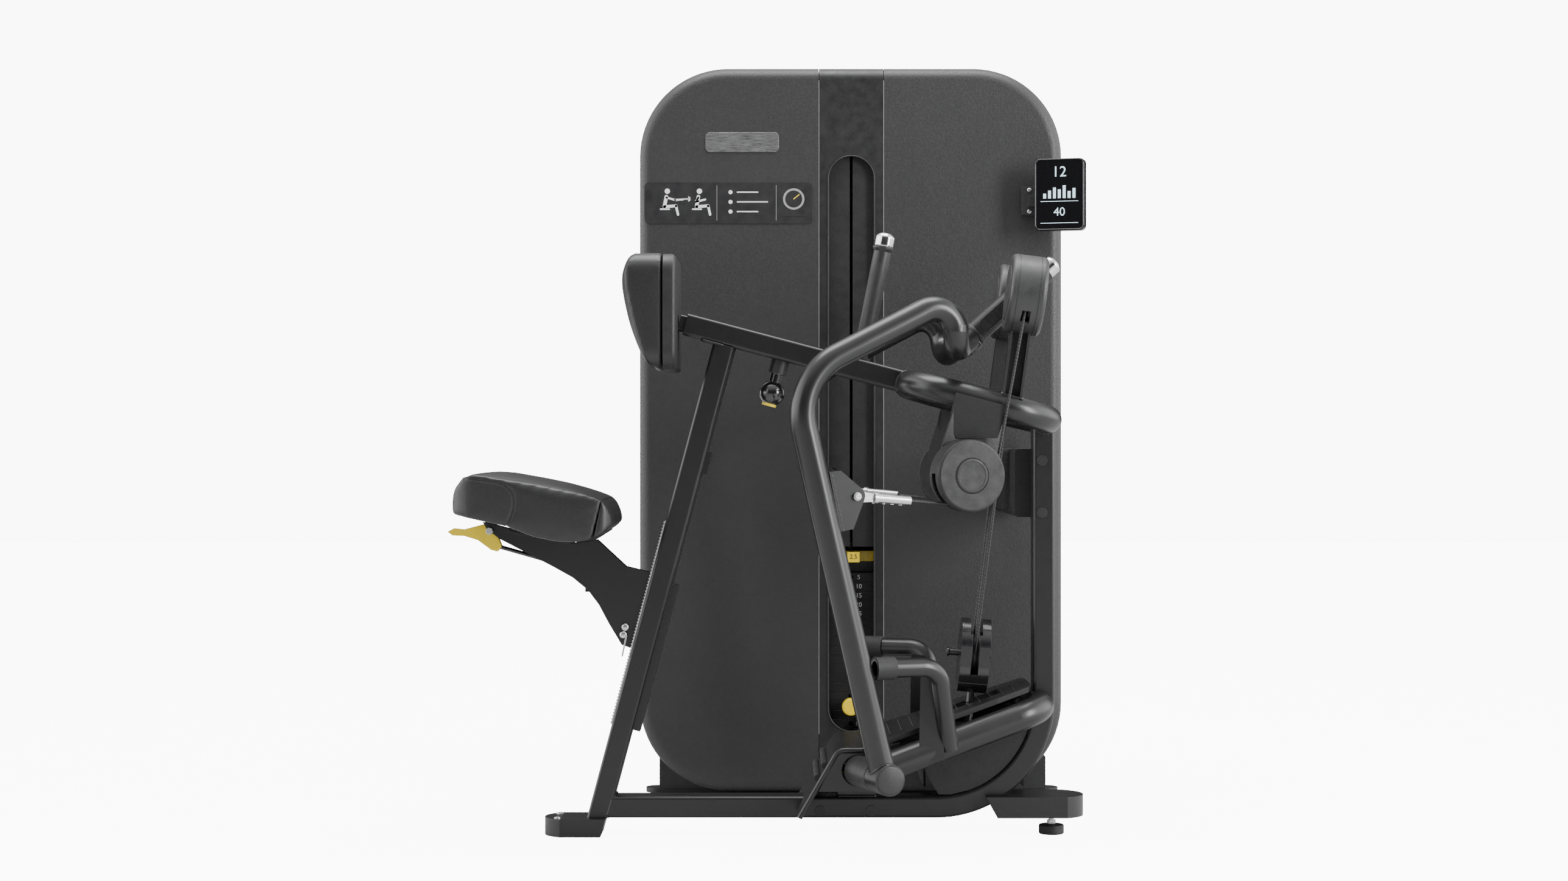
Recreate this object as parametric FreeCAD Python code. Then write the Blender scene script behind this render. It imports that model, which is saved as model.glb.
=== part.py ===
"""Chest-supported seated row machine with a weight-stack tower, two independent lever arms and rope drive.

Millimetres. X points the way the user faces, Y to the user's left (towards the tower), Z up.
The origin is on the floor, under the middle of the seat-side foot, in the user's mid-plane.
"""
import FreeCAD
import Part
import math
import os

# ---------------------------------------------------------------- driving dimensions
TUBE_H = 40.0            # frame tube, height in its own plane
TUBE_W = 60.0            # frame tube, width across the machine
TUBE_WALL = 3.0
TUBE_CORNER = 6.0
FOOT_H = 33.0
BASE_Z = FOOT_H + TUBE_H / 2
POST_X = 873.0
POST_TOP = 752.0
BASE_BEND = 200.0

COLUMN_FOOT = (44.5, FOOT_H)      # centre line of the seat column at the foot
COLUMN_LEAN = 14.9                # degrees from vertical, top towards the tower arms
COLUMN_SLOT = 42.0                # slot along the column's seat side
COLUMN_SLOT_SPAN = (215.0, 760.0)

BEAM_SLOPE = 14.8                 # degrees, falling towards +X
BEAM_START = (207.0, 950.7)
BEAM_END_X = 612.0

RING_R = 25.0                     # upper ring tube radius
RING_X = (624.0, 876.0)
RING_Y = 150.0
RING_Z_AT_START = 838.4
RING_BEND = 84.0

FORK_R = 26.0
FORK_X = 862.0
FORK_Y = 100.0
FORK_Z = 243.0

HUB = (567.0, -252.0, 134.5)      # right arm: where its plane crosses the pivot axis
ARM_TOE = 20.0                    # degrees each arm plane is turned outwards
HUB_R = 28.0
HUB_IN = -25.0                    # hub ends along the axis, outwards positive
HUB_OUT = 30.0
HOUSING_IN = -122.0
HOUSING_OUT = -26.0
SHAFT_R = 12.5
RUN_GAP = 0.05                    # radial running clearance
ARM_R = 23.0
ARM_WALL = 3.0
ARM_PATH = [(0.0, 134.5), (-170.2, 842.1), (138.0, 994.0), (138.0, 895.0)]
HANDLE_FOOT = (731.0, -38.0, 920.0)
HANDLE_DIR = (0.746, 0.0, 0.666)
HANDLE_LEN = 176.0
CAP_LEN = 26.0
GRIP_AT = 333.0                    # fixed grip, along the beam
GRIP_LEAN = 11.2
GRIP_LEN = 237.5
GRIP_R = 16.5
ROPE_PIN = (-55.8, 635.2)         # rope pin on the arm, in the arm plane
SIDE_WHEEL = (160.4, 671.0)       # side pulley centre, in the arm plane
ROPE_R = 2.6
WHEEL_PITCH = 53.0
SIDE_COVER_R = 65.0
FITTING_LEN = 108.0
OPEN_PIVOT_GAP = 4.0              # the row rope's loop is opened here

TOP_WHEEL = (828.0, -141.0, 998.0)
TOP_TILT = 7.5
TOP_COVER_R = 72.0
TOP_COVER_W = 66.0
TOP_PITCH = 55.0
BLOCK = (744.0, 0.0, 336.0)       # floating pulley centre
BLOCK_TILT = 4.6
BLOCK_PITCH = 38.0
BLOCK_HALF_W = 27.0
BLOCK_R = 50.0
PULL_ROD_END = 128.0

TOWER_X = (92.5, 962.5)
TOWER_Y = (500.0, 870.0)
TOWER_Z = (11.0, 1502.0)
TOWER_CORNER = 182.0
RAIL_H = 10.0
TOWER_EDGE = 24.0
SHELL_WALL = 4.0
STRIP_X = (461.5, 595.5)
SLOT_HALF = 45.5
SLOT_Z = (135.0, 1320.0)
STACK_X = 528.5
STACK_Y = 600.0
PLATE_PITCH = 19.0
PLATE_SIZE = (300.0, 116.0, 18.6)
STACK_Z = 80.0
PLATES_STILL = 5
PLATES_LIFTED = 15
LEAF_GAP = 6.0
LEAF_Y = 513.0
LEAF_Z = (515.0, 1350.0)
GUIDE_X = 105.0
GUIDE_R = 11.0
DROP_ROPE_X = 733.0
TOWER_WHEEL_Z = 1370.0
LOW_ROPE_Z = 92.0

CHEST_X = (84.0, 170.0)
CHEST_Z = (863.0, 1074.0)
CHEST_HALF_W = 150.0
CHEST_SHELL = 23.0
CHEST_TUBE_LEN = 330.0
LOCK_AT = 188.0                   # the lock knob, along the beam

DISPLAY = (951.0, 428.0, 1233.0)
DISPLAY_SIZE = (102.0, 24.0, 146.0)
DISPLAY_YAW = 16.0
DISPLAY_PIN = (962.0, 483.0)

V = FreeCAD.Vector
UP = V(0, 0, 1)
ACROSS = V(0, 1, 0)
MID = V(0, 0, 0)


# ---------------------------------------------------------------- small shape helpers
def box(x, y, z):
    """Block from three (low, high) pairs."""
    return Part.makeBox(x[1] - x[0], y[1] - y[0], z[1] - z[0], V(x[0], y[0], z[0]))


def rod(start, end, radius):
    along = end - start
    return Part.makeCylinder(radius, along.Length, start, along)


def sleeve(start, end, outer, inner):
    return rod(start, end, outer).cut(rod(start, end, inner))


def slab_from(corners, through):
    """Flat-sided solid: a closed outline of points pushed through by a vector."""
    return Part.Face(Part.makePolygon(corners + corners[:1])).extrude(through)


def mirrored(shape):
    """The same shape on the other side of the user's mid-plane."""
    return shape.mirror(MID, ACROSS)


def group(*shapes):
    return Part.makeCompound([solid for shape in shapes for solid in shape.Solids])


def joined(*shapes):
    return shapes[0].multiFuse(list(shapes[1:])).removeSplitter()


def direction(angle):
    """Unit vector in the XZ plane, the angle measured from +X towards +Z."""
    return V(math.cos(math.radians(angle)), 0, math.sin(math.radians(angle)))


def rounded_face(centre, along, side, height, width, corner):
    """Rounded rectangle square to `along`, its width lying on `side`."""
    across = side.normalize()
    other = along.cross(across).normalize()
    hw, hh = width / 2 - corner, height / 2 - corner
    edges = []
    corners = [(hw, hh, 0), (-hw, hh, 90), (-hw, -hh, 180), (hw, -hh, 270)]
    for index, (a, b, start) in enumerate(corners):
        mid = centre + across * a + other * b
        points = []
        for turn in (start, start + 45, start + 90):
            t = math.radians(turn)
            points.append(mid + across * (corner * math.cos(t)) + other * (corner * math.sin(t)))
        edges.append(Part.Arc(*points).toShape())
        nxt = corners[(index + 1) % 4]
        t = math.radians(nxt[2])
        end = centre + across * (nxt[0] + corner * math.cos(t)) + other * (nxt[1] + corner * math.sin(t))
        if (end - points[-1]).Length > 1e-6:
            edges.append(Part.makeLine(points[-1], end))
    return Part.Face(Part.Wire(edges))


def disc_face(centre, along, radius):
    return Part.Face(Part.Wire(Part.makeCircle(radius, centre, along)))


def sweep(points, bend, face_at, closed=False):
    """Pushes a face along straight runs joined by arcs of radius `bend`."""
    count = len(points)
    corners = range(count) if closed else range(1, count - 1)
    trims = {}
    arcs = []
    for i in corners:
        before = (points[i] - points[i - 1]).normalize()
        after = (points[(i + 1) % count] - points[i]).normalize()
        turn = before.getAngle(after)
        trims[i] = bend * math.tan(turn / 2)
        start = points[i] - before * trims[i]
        axis = before.cross(after).normalize()
        centre = start + axis.cross(before).normalize() * bend
        arcs.append((start, before, centre, axis, math.degrees(turn)))
    solids = []
    for i in range(count if closed else count - 1):
        a, b = points[i], points[(i + 1) % count]
        along = (b - a).normalize()
        start = a + along * trims.get(i, 0)
        length = (b - a).Length - trims.get(i, 0) - trims.get((i + 1) % count, 0)
        if length > 1e-3:
            solids.append(face_at(start, along).extrude(along * length))
    for start, before, centre, axis, degrees in arcs:
        solids.append(face_at(start, before).revolve(centre, axis, degrees))
    return joined(*solids)


def round_tube(points, bend, radius, wall=None, closed=False):
    outer = sweep(points, bend, lambda at, along: disc_face(at, along, radius), closed)
    if wall is None:
        return outer
    inner = sweep(points, bend, lambda at, along: disc_face(at, along, radius - wall), closed)
    return outer.cut(inner)


def box_tube(points, bend, height, width, wall, corner):
    def face(h, w, c):
        return lambda at, along: rounded_face(at, along, V(0, 1, 0), h, w, c)
    outer = sweep(points, bend, face(height, width, corner))
    if not wall:
        return outer
    inner = sweep(points, bend, face(height - 2 * wall, width - 2 * wall, corner - wall / 2))
    return outer.cut(inner)


def plate_xz(outline, y_low, y_high):
    """Flat plate from (x, z) points between two Y values."""
    wire = Part.makePolygon([V(x, y_low, z) for x, z in outline + outline[:1]])
    return Part.Face(wire).extrude(V(0, y_high - y_low, 0))


def turned_disc(centre, axis, radius, half, edge):
    """Drum with rounded rims, centred on `centre`."""
    axis = V(axis).normalize()
    drum = rod(centre - axis * half, centre + axis * half, radius)
    rims = [e for e in drum.Edges if e.Closed]
    return drum.makeFillet(edge, rims)


def grooved_wheel(centre, axis, pitch, half, bore):
    """Rope wheel with a round groove at its pitch radius and a plain bore."""
    axis = V(axis).normalize()
    body = rod(centre - axis * half, centre + axis * half, pitch + 5)
    ring = Part.makeTorus(pitch + ROPE_R + 0.6, ROPE_R + 3.2, centre, axis)
    return body.cut(ring).cut(rod(centre - axis * 40, centre + axis * 40, bore))


# ---------------------------------------------------------------- places worked out from the dimensions
TOE = math.radians(ARM_TOE)
ARM_U = V(math.cos(TOE), math.sin(TOE), 0)          # forwards, in the right arm's plane
ARM_N = V(math.sin(TOE), -math.cos(TOE), 0)         # outwards, along its pivot axis
HUB_AT = V(*HUB)
COLUMN_DIR = direction(90 - COLUMN_LEAN)
COLUMN_OUT = V(-COLUMN_DIR.z, 0, COLUMN_DIR.x)      # towards the seat
BEAM_DIR = direction(-BEAM_SLOPE)
BEAM_UP = direction(90 - BEAM_SLOPE)
TOP_AXIS = direction(-TOP_TILT)
BLOCK_AXIS = direction(-BLOCK_TILT)
BLOCK_UP = direction(90 - BLOCK_TILT)


def in_arm(s, z, n=0.0):
    """Point of the right arm's plane: s forwards of the pivot, z height, n outwards."""
    flat = V(HUB_AT.x, HUB_AT.y, 0) + ARM_U * s + ARM_N * n
    return V(flat.x, flat.y, z)


def on_column(t, out=0.0, y=0.0):
    base = V(COLUMN_FOOT[0], y, COLUMN_FOOT[1])
    return base + COLUMN_DIR * t + COLUMN_OUT * out


def on_beam(t, up=0.0, y=0.0):
    return V(BEAM_START[0], y, BEAM_START[1]) + BEAM_DIR * t + BEAM_UP * up


def ring_z(x):
    return RING_Z_AT_START - (x - RING_X[0]) * math.tan(math.radians(BEAM_SLOPE))


def rope_line():
    """Rope between the side pulley and the arm's pin: tangent point and unit direction to the pin."""
    ds = ROPE_PIN[0] - SIDE_WHEEL[0]
    dz = ROPE_PIN[1] - SIDE_WHEEL[1]
    reach = math.hypot(ds, dz)
    angle = math.atan2(dz, ds) - math.asin(WHEEL_PITCH / reach)
    free = math.sqrt(reach ** 2 - WHEEL_PITCH ** 2)
    unit = ARM_U * math.cos(angle) + UP * math.sin(angle)
    pin = in_arm(*ROPE_PIN)
    return pin - unit * free, unit, pin


ROPE_START, ROPE_UNIT, ROPE_PIN_AT = rope_line()
SIDE_AT = in_arm(*SIDE_WHEEL)
TOP_AT = V(*TOP_WHEEL)
BLOCK_AT = V(*BLOCK)


# ---------------------------------------------------------------- frame
def base_tube_solid(wall):
    points = [V(40, 0, BASE_Z), V(POST_X, 0, BASE_Z), V(POST_X, 0, POST_TOP + 10)]
    return box_tube(points, BASE_BEND, TUBE_H, TUBE_W, wall, TUBE_CORNER)


def column_envelope():
    return box_tube([on_column(-20), on_column(930)], 0, TUBE_H, TUBE_W, 0, TUBE_CORNER)


def beam_envelope():
    length = (BEAM_END_X - BEAM_START[0]) / BEAM_DIR.x
    return box_tube([on_beam(0), on_beam(length)], 0, TUBE_H, TUBE_W, 0, TUBE_CORNER)


def ring_points():
    x0, x1 = RING_X
    return [V(x0, -RING_Y, ring_z(x0)), V(x1, -RING_Y, ring_z(x1)),
            V(x1, RING_Y, ring_z(x1)), V(x0, RING_Y, ring_z(x0))]


def ring_envelope():
    return round_tube(ring_points(), RING_BEND, RING_R, closed=True)


def base_tube():
    tube = base_tube_solid(TUBE_WALL).cut(column_envelope()).cut(ring_envelope())
    tube = largest(tube)
    for x, z, sides in plug_places():
        for side in sides:
            tube = tube.cut(rod(V(x, 0, z), V(x, side * 40, z), 8.0))
    return tube


def largest(shape):
    return max(shape.Solids, key=lambda solid: solid.Volume)


def plug_places():
    """Bolt-hole plugs as (x, z, sides); the post's far side is behind the link box."""
    both, near = (-1, 1), (-1,)
    return [(457.0, 46.5, both), (552.0, 46.5, both), (868.5, 697.0, near), (868.5, 600.0, near)]


def tube_plugs():
    plugs = []
    for x, z, sides in plug_places():
        for side in sides:
            face = side * TUBE_W / 2
            head = rod(V(x, face, z), V(x, face + side * 1.6, z), 10.0)
            stem = rod(V(x, face, z), V(x, face - side * TUBE_WALL, z), 7.9)
            plugs.append(joined(head, stem))
    return group(*plugs)


def seat_column():
    points = [on_column(-20), on_column(930)]
    tube = box_tube(points, 0, TUBE_H, TUBE_W, TUBE_WALL, TUBE_CORNER)
    slot = box_on_column(COLUMN_SLOT_SPAN, (TUBE_H / 2 - TUBE_WALL - 1, TUBE_H / 2 + 1), COLUMN_SLOT / 2)
    floor_cut = box((-100, 300), (-60, 60), (-60, FOOT_H))
    tube = tube.cut(slot).cut(floor_cut).cut(above_beam())
    keeper = box_on_column((174, 455), (-TUBE_H / 2 - 14, -TUBE_H / 2), 20)
    lip = box_on_column((455, 930), (-TUBE_H / 2 - 3, -TUBE_H / 2), 13)
    tab = box_on_column((668, 711), (-TUBE_H / 2 - 11, -TUBE_H / 2), 16)
    return joined(largest(tube), keeper, lip.cut(above_beam()), tab)


def above_beam():
    """Everything over the beam's underside, for trimming the column."""
    return box_along(on_beam(-60, -TUBE_H / 2), BEAM_DIR, BEAM_UP, 700, 200, 90)


def box_along(corner, along, up, length, height, half_width):
    """Block starting at `corner`, running along `along`, rising along `up`, centred across."""
    start = corner + V(0, -half_width, 0)
    end = start + along * length
    return slab_from([start, end, end + up * height, start + up * height], V(0, 2 * half_width, 0))


def box_on_column(span, out, half_width):
    """Block on the column: (low, high) along it, (low, high) out from it, half its width."""
    start = on_column(span[0], out[0])
    return box_along(start, COLUMN_DIR, COLUMN_OUT, span[1] - span[0], out[1] - out[0], half_width)


def seat_rack():
    """Two toothed strips, one on each lip beside the column's slot."""
    tooth, depth, base = 6.0, 2.4, 1.6
    out = TUBE_H / 2
    start, end = COLUMN_SLOT_SPAN[0] - 40, 560.0
    outline = [on_column(start, out)]
    t = start
    while t < end:
        outline.append(on_column(t, out + base))
        outline.append(on_column(t + tooth / 2, out + base + depth))
        t += tooth
    outline.append(on_column(t, out + base))
    outline.append(on_column(t, out))
    strips = []
    for side in (-1, 1):
        shift = V(0, side * 23.4 - 1.4, 0)
        strips.append(slab_from([p + shift for p in outline], V(0, 2.8, 0)))
    return group(*strips)


def upper_beam():
    length = (BEAM_END_X - BEAM_START[0]) / BEAM_DIR.x
    tube = box_tube([on_beam(0), on_beam(length)], 0, TUBE_H, TUBE_W, TUBE_WALL, TUBE_CORNER)
    tube = largest(tube.cut(ring_envelope()))
    knob_hole = rod(on_beam(LOCK_AT, -30), on_beam(LOCK_AT, 0), 6.05)
    return tube.cut(knob_hole)


def lock_collar():
    """Threaded collar under the beam that the lock knob's pin runs in."""
    return sleeve(on_beam(LOCK_AT, -TUBE_H / 2), on_beam(LOCK_AT, -TUBE_H / 2 - 26), 17.0, 6.05)


def upper_ring():
    return round_tube(ring_points(), RING_BEND, RING_R, 3.0, closed=True)


def fork_points():
    end = in_arm(0, HUB[2], -74)
    return [V(FORK_X, 0, FORK_Z), V(FORK_X, -FORK_Y, FORK_Z), V(end.x, end.y, end.z)]


def arm_stop_points():
    s_face = arm_s_at(330.0) + ARM_R / math.cos(math.radians(13.5)) + 0.5
    return [in_arm(s_face + 5, 330), in_arm(105, 330), V(688, -160, 178)], s_face


def arm_s_at(z):
    """Arm centre line in its lower straight run."""
    low, high = ARM_PATH[0], ARM_PATH[1]
    return low[0] + (high[0] - low[0]) * (z - low[1]) / (high[1] - low[1])


def fork_tubes():
    """Both fork legs, each with its bent stop tube and gusset."""
    leg = round_tube(fork_points(), 62.0, FORK_R, 3.0)
    leg = leg.cut(base_tube_solid(0))
    leg = leg.cut(rod(in_arm(0, HUB[2], HOUSING_IN), in_arm(0, HUB[2], 60), HUB_R + 1.0))
    solid_leg = round_tube(fork_points(), 62.0, FORK_R)
    stop = round_tube(arm_stop_points()[0], 42.0, 17.0, 3.0)
    stop = largest(stop.cut(solid_leg))
    gusset = plate_xz([(633, 158), (680, 158), (664, 318), (636, 322)], -178, -172)
    gusset = largest(gusset.cut(solid_leg).cut(round_tube(arm_stop_points()[0], 42.0, 17.0)))
    right = joined(largest(leg), stop, gusset)
    return group(right, mirrored(right))


def frame_feet():
    seat_foot = slab((-56.0, 60.0), 50.0, 0.0, FOOT_H, 10.0)
    floor_block = slab((763.0, 948.0), 55.0, 36.0, 75.0, 22.0)
    front = floor_block.cut(base_tube_solid(0))
    front = front.cut(rod(V(889, 0, 0), V(889, 0, 60), 5.0 + RUN_GAP))
    return group(seat_foot, *front.Solids)


def slab(x, half_width, z_low, z_high, slant):
    """Foot block: round at one end, slanted at the other."""
    near_origin = x[0] < 0
    tip = x[0] if near_origin else x[1]
    heel = x[1] if near_origin else x[0]
    side = 1 if near_origin else -1
    arc_mid = V(tip, 0, z_low)
    reach = tip + side * half_width * 0.62
    low = V(reach, -half_width, z_low)
    high = V(reach, half_width, z_low)
    edges = [Part.Arc(low, arc_mid, high).toShape(),
             Part.makeLine(high, V(heel, half_width, z_low)),
             Part.makeLine(V(heel, half_width, z_low), V(heel, -half_width, z_low)),
             Part.makeLine(V(heel, -half_width, z_low), low)]
    body = Part.Face(Part.Wire(edges)).extrude(V(0, 0, z_high - z_low))
    wedge = [(heel - side * slant, z_low - 1), (heel + side * 5, z_low - 1), (heel + side * 5, z_high + 1),
             (heel, z_high + 1)]
    return body.cut(plate_xz(wedge, -half_width - 1, half_width + 1))


def levelling_foot():
    pad = turned_disc(V(889, 0, 9), UP, 23.5, 9.0, 3.0)
    stem = rod(V(889, 0, 18), V(889, 0, 50), 5.0)
    nut = prism(V(889, 0, 19), 8.5, 7.0)
    return joined(pad, stem, nut)


def prism(centre, radius, height):
    corners = [centre + V(radius * math.cos(math.radians(a)), radius * math.sin(math.radians(a)), 0)
               for a in range(0, 360, 60)]
    return slab_from(corners, V(0, 0, height))


def platform_path():
    return [V(418, 0, 48), V(489, 0, 171), V(531, 0, 171), V(846, 0, 280)]


def platform_envelope(thick):
    return sweep(platform_path(), 20.0,
                 lambda at, along: rounded_face(at, along, V(0, 1, 0), thick, 278.0, thick / 2 - 0.1))


def foot_platform():
    """One bent tread plate with a pedestal under it and a block down to the base tube."""
    plate = platform_envelope(10.0)
    plan = [V(380, -139, 0), V(560, -139, 0), V(780, -104, 0), V(838, -90, 0), V(846, -40, 0),
            V(846, 40, 0), V(838, 90, 0), V(780, 104, 0), V(560, 139, 0), V(380, 139, 0)]
    plate = plate.common(slab_from(plan, V(0, 0, 400)))
    plate = plate.cut(box((700, 790), (-34, 34), (0, 400)))
    under = [(452, 96), (600, 96), (600, 186), (531, 166), (489, 166)]
    cheek = plate_xz(under, -137, -129)
    cheek = cheek.cut(rod(in_arm(0, HUB[2], -300), in_arm(0, HUB[2], 60), HUB_R + 0.2))
    deck = box((462, 598), (-129, 129), (96, 104))
    block = box((490, 560), (-26, 26), (73, 96))
    plate = plate.cut(base_tube_solid(0))
    return joined(plate, cheek, mirrored(cheek), deck, block)


def rubber_buffers():
    """Two tread ribs on the platform's toe and a sleeve on each arm stop."""
    parts = []
    plate = foot_platform()
    slope = (V(489, 0, 171) - V(418, 0, 48)).normalize()
    out = V(-slope.z, 0, slope.x)
    for t in (78.0, 104.0):
        at = V(418, 0, 48) + slope * t + out * 7
        parts.append(largest(rod(at + V(0, -118, 0), at + V(0, 118, 0), 6.0).cut(plate)))
    s_face = arm_stop_points()[1]
    tip = in_arm(s_face, 330)
    pad = rod(tip, in_arm(s_face + 5, 330), 17.0)
    body = sleeve(in_arm(s_face + 5, 330), in_arm(s_face + 42, 330), 20.5, 17.0)
    low, high = in_arm(*ARM_PATH[0]), in_arm(*ARM_PATH[1])
    buffer = largest(joined(pad, body).cut(rod(low, high, ARM_R + 0.5)))
    return group(*parts, buffer, mirrored(buffer))


def pivot_shafts():
    """Fixed housing tube, shaft and end washer of each arm pivot."""
    housing = rod(in_arm(0, HUB[2], HOUSING_IN), in_arm(0, HUB[2], HOUSING_OUT), HUB_R)
    shaft = rod(in_arm(0, HUB[2], HOUSING_OUT), in_arm(0, HUB[2], HUB_OUT - 6), SHAFT_R)
    right = joined(housing, shaft)
    return group(right, mirrored(right))


def fixed_grip():
    """Grip the free hand holds: foot collar, steel core, ribbed sleeve and domed cap."""
    foot = on_beam(GRIP_AT, TUBE_H / 2)
    axis = direction(90 - GRIP_LEAN)
    collar = rod(foot, foot + BEAM_UP * 5, 16.0)
    core = rod(foot + axis * 3, foot + axis * 20, 11.0)
    body = rod(foot + axis * 20, foot + axis * (GRIP_LEN - CAP_LEN), GRIP_R)
    for k in range(9):
        body = body.cut(Part.makeTorus(GRIP_R + 1.1, 1.8, foot + axis * (34 + 20.5 * k), axis))
    cap = turned_disc(foot + axis * (GRIP_LEN - CAP_LEN / 2), axis, GRIP_R + 1.5, CAP_LEN / 2, 6.0)
    return joined(collar, core, body, cap)


def pulley_brackets():
    """Channel post under each top pulley and plate behind each side pulley, all welded to the ring."""
    ring = ring_envelope()
    low = V(799, -150, ring_z(799))
    lean = direction(90 - TOP_TILT) * 172
    channel = []
    for x, y, wide, deep in ((-19, -13, 5, 26), (14, -13, 5, 26), (-19, 9, 38, 4)):
        start = low + V(x, y, 0)
        channel.append(slab_from([start, start + V(wide, 0, 0), start + V(wide, deep, 0),
                                  start + V(0, deep, 0)], lean))
    post = joined(*channel).cut(ring)
    post = max(post.Solids, key=lambda solid: solid.CenterOfMass.z)
    post = largest(post.cut(top_cover_envelope()))
    outline = [(150, 820), (243, 790), (237, 715), (205, 640), (150, 628), (114, 650), (120, 715),
               (143, 785)]
    plate = largest(plate_in_arm(outline, -29, -23).cut(ring))
    ear = plate_xz([(699, 821), (786, 798), (782, 762), (774, 738), (700, 738), (686, 765)], -181, -175.1)
    boss = rod(in_arm(*SIDE_WHEEL, -23), in_arm(*SIDE_WHEEL, 16), 8.0)
    right = group(post, joined(plate, ear, boss))
    return group(right, mirrored(right))


def top_cover_envelope():
    return turned_disc(TOP_AT, TOP_AXIS, TOP_COVER_R, TOP_COVER_W / 2, 8.0)


def side_pulley_covers():
    """Flat drum over each side pulley, open behind, with a rim slot for the rope."""
    drum = turned_disc(in_arm(*SIDE_WHEEL, 1), ARM_N, SIDE_COVER_R, 23.0, 5.0)
    hollow = rod(in_arm(*SIDE_WHEEL, -18), in_arm(*SIDE_WHEEL, 19), SIDE_COVER_R - 4)
    cover = drum.cut(hollow)
    cover = cover.cut(rod(in_arm(*SIDE_WHEEL, -24), in_arm(*SIDE_WHEEL, 19), 8.1))
    s_mid, z_mid = SIDE_WHEEL
    low_slot = box_in_arm((s_mid - 80, s_mid - 10), (z_mid - 66, z_mid + 4), 8)
    up_slot = box_in_arm((s_mid + 8, s_mid + 75), (z_mid - 8, z_mid + 70), 8)
    cover = largest(cover.cut(low_slot).cut(up_slot))
    return group(cover, mirrored(cover))


def box_in_arm(s, z, half):
    return plate_in_arm([(s[0], z[0]), (s[1], z[0]), (s[1], z[1]), (s[0], z[1])], -half, half)


def plate_in_arm(outline, n_low, n_high):
    """Flat plate in the right arm's plane, from (s, z) points."""
    return slab_from([in_arm(s, z, n_low) for s, z in outline], ARM_N * (n_high - n_low))


def top_pulley_covers():
    """Closed drum over each top pulley with an axle inside and rope slots below."""
    drum = top_cover_envelope()
    hollow = rod(TOP_AT - TOP_AXIS * 15, TOP_AT + TOP_AXIS * 15, TOP_COVER_R - 4)
    cover = drum.cut(hollow)
    for side in (-1, 1):
        y = TOP_AT.y + side * TOP_PITCH
        slot = box((780, 880), (y - 9, y + 9), (TOP_AT.z - 90, TOP_AT.z - 10))
        keep = rod(TOP_AT - TOP_AXIS * 8, TOP_AT + TOP_AXIS * 8, TOP_COVER_R + 5)
        cover = cover.cut(slot.common(keep))
    axle = rod(TOP_AT - TOP_AXIS * 15, TOP_AT + TOP_AXIS * 15, 8.0)
    cover = joined(cover, axle)
    return group(cover, mirrored(cover))


# ---------------------------------------------------------------- tower
def tower_outline(inset, y_low, y_high):
    """Rounded tower block, shrunk by `inset` on every side but front and back."""
    x = (TOWER_X[0] + inset, TOWER_X[1] - inset)
    z = (TOWER_Z[0] + inset, TOWER_Z[1] - inset)
    centre = V((x[0] + x[1]) / 2, y_low, (z[0] + z[1]) / 2)
    face = rounded_face(centre, V(0, 1, 0), V(1, 0, 0), z[1] - z[0], x[1] - x[0], TOWER_CORNER - inset)
    return face.extrude(V(0, y_high - y_low, 0))


def tower_shell():
    outer = tower_outline(0, *TOWER_Y)
    rims = [e for e in outer.Edges if all(abs(v.Y - TOWER_Y[0]) < 0.1 for v in e.Vertexes)
            or all(abs(v.Y - TOWER_Y[1]) < 0.1 for v in e.Vertexes)]
    outer = outer.makeFillet(TOWER_EDGE, rims)
    inner = tower_outline(SHELL_WALL, TOWER_Y[0] + SHELL_WALL, TOWER_Y[1] - SHELL_WALL)
    inner_rims = [e for e in inner.Edges if all(abs(v.Y - TOWER_Y[0] - SHELL_WALL) < 0.1 for v in e.Vertexes)
                  or all(abs(v.Y - TOWER_Y[1] + SHELL_WALL) < 0.1 for v in e.Vertexes)]
    inner = inner.makeFillet(TOWER_EDGE - SHELL_WALL, inner_rims)
    return outer.cut(inner)


def base_box(grow):
    return box((131 - grow, 934 + grow), (560 - grow, 810 + grow), (RAIL_H - grow, 76 + grow))


def foot_rails(grow):
    """The two floor rails with rounded ends; the far one is shorter."""
    rails = []
    half = 28.0 + grow
    for y, x_low, x_high in ((590.0, 130, 934), (780.0, 193, 906)):
        bar = box((x_low, x_high), (y - half, y + half), (-grow, RAIL_H + grow))
        ends = [rod(V(x, y, -grow), V(x, y, RAIL_H + grow), half) for x in (x_low, x_high)]
        rails.append(joined(bar, *ends))
    return rails


def tower_cut():
    """Room for the base box, the floor rails and the rope that enters from the duct."""
    rope = rod(V(DROP_ROPE_X, 480, LOW_ROPE_Z), V(DROP_ROPE_X, 520, LOW_ROPE_Z), 9.0)
    return base_box(1.0).multiFuse(foot_rails(1.0) + [rope])


def tower_cover(x_low, x_high):
    cut = box((x_low, x_high), (400, 1000), (-10, 1600))
    return largest(tower_shell().common(cut).cut(tower_cut()))


def tower_centre_panel():
    """Centre strip: front with a long round-ended slot, top, back."""
    strip = tower_shell().common(box((STRIP_X[0] + 1.0, STRIP_X[1] - 1.0), (400, 1000), (-10, 1600)))
    slot = rod(V(STACK_X, 490, SLOT_Z[0] + SLOT_HALF), V(STACK_X, 520, SLOT_Z[0] + SLOT_HALF), SLOT_HALF)
    slot = slot.fuse(rod(V(STACK_X, 490, SLOT_Z[1] - SLOT_HALF), V(STACK_X, 520, SLOT_Z[1] - SLOT_HALF),
                         SLOT_HALF))
    slot = slot.fuse(box((STACK_X - SLOT_HALF, STACK_X + SLOT_HALF), (490, 520),
                         (SLOT_Z[0] + SLOT_HALF, SLOT_Z[1] - SLOT_HALF)))
    return largest(strip.cut(slot).cut(tower_cut()))


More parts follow.
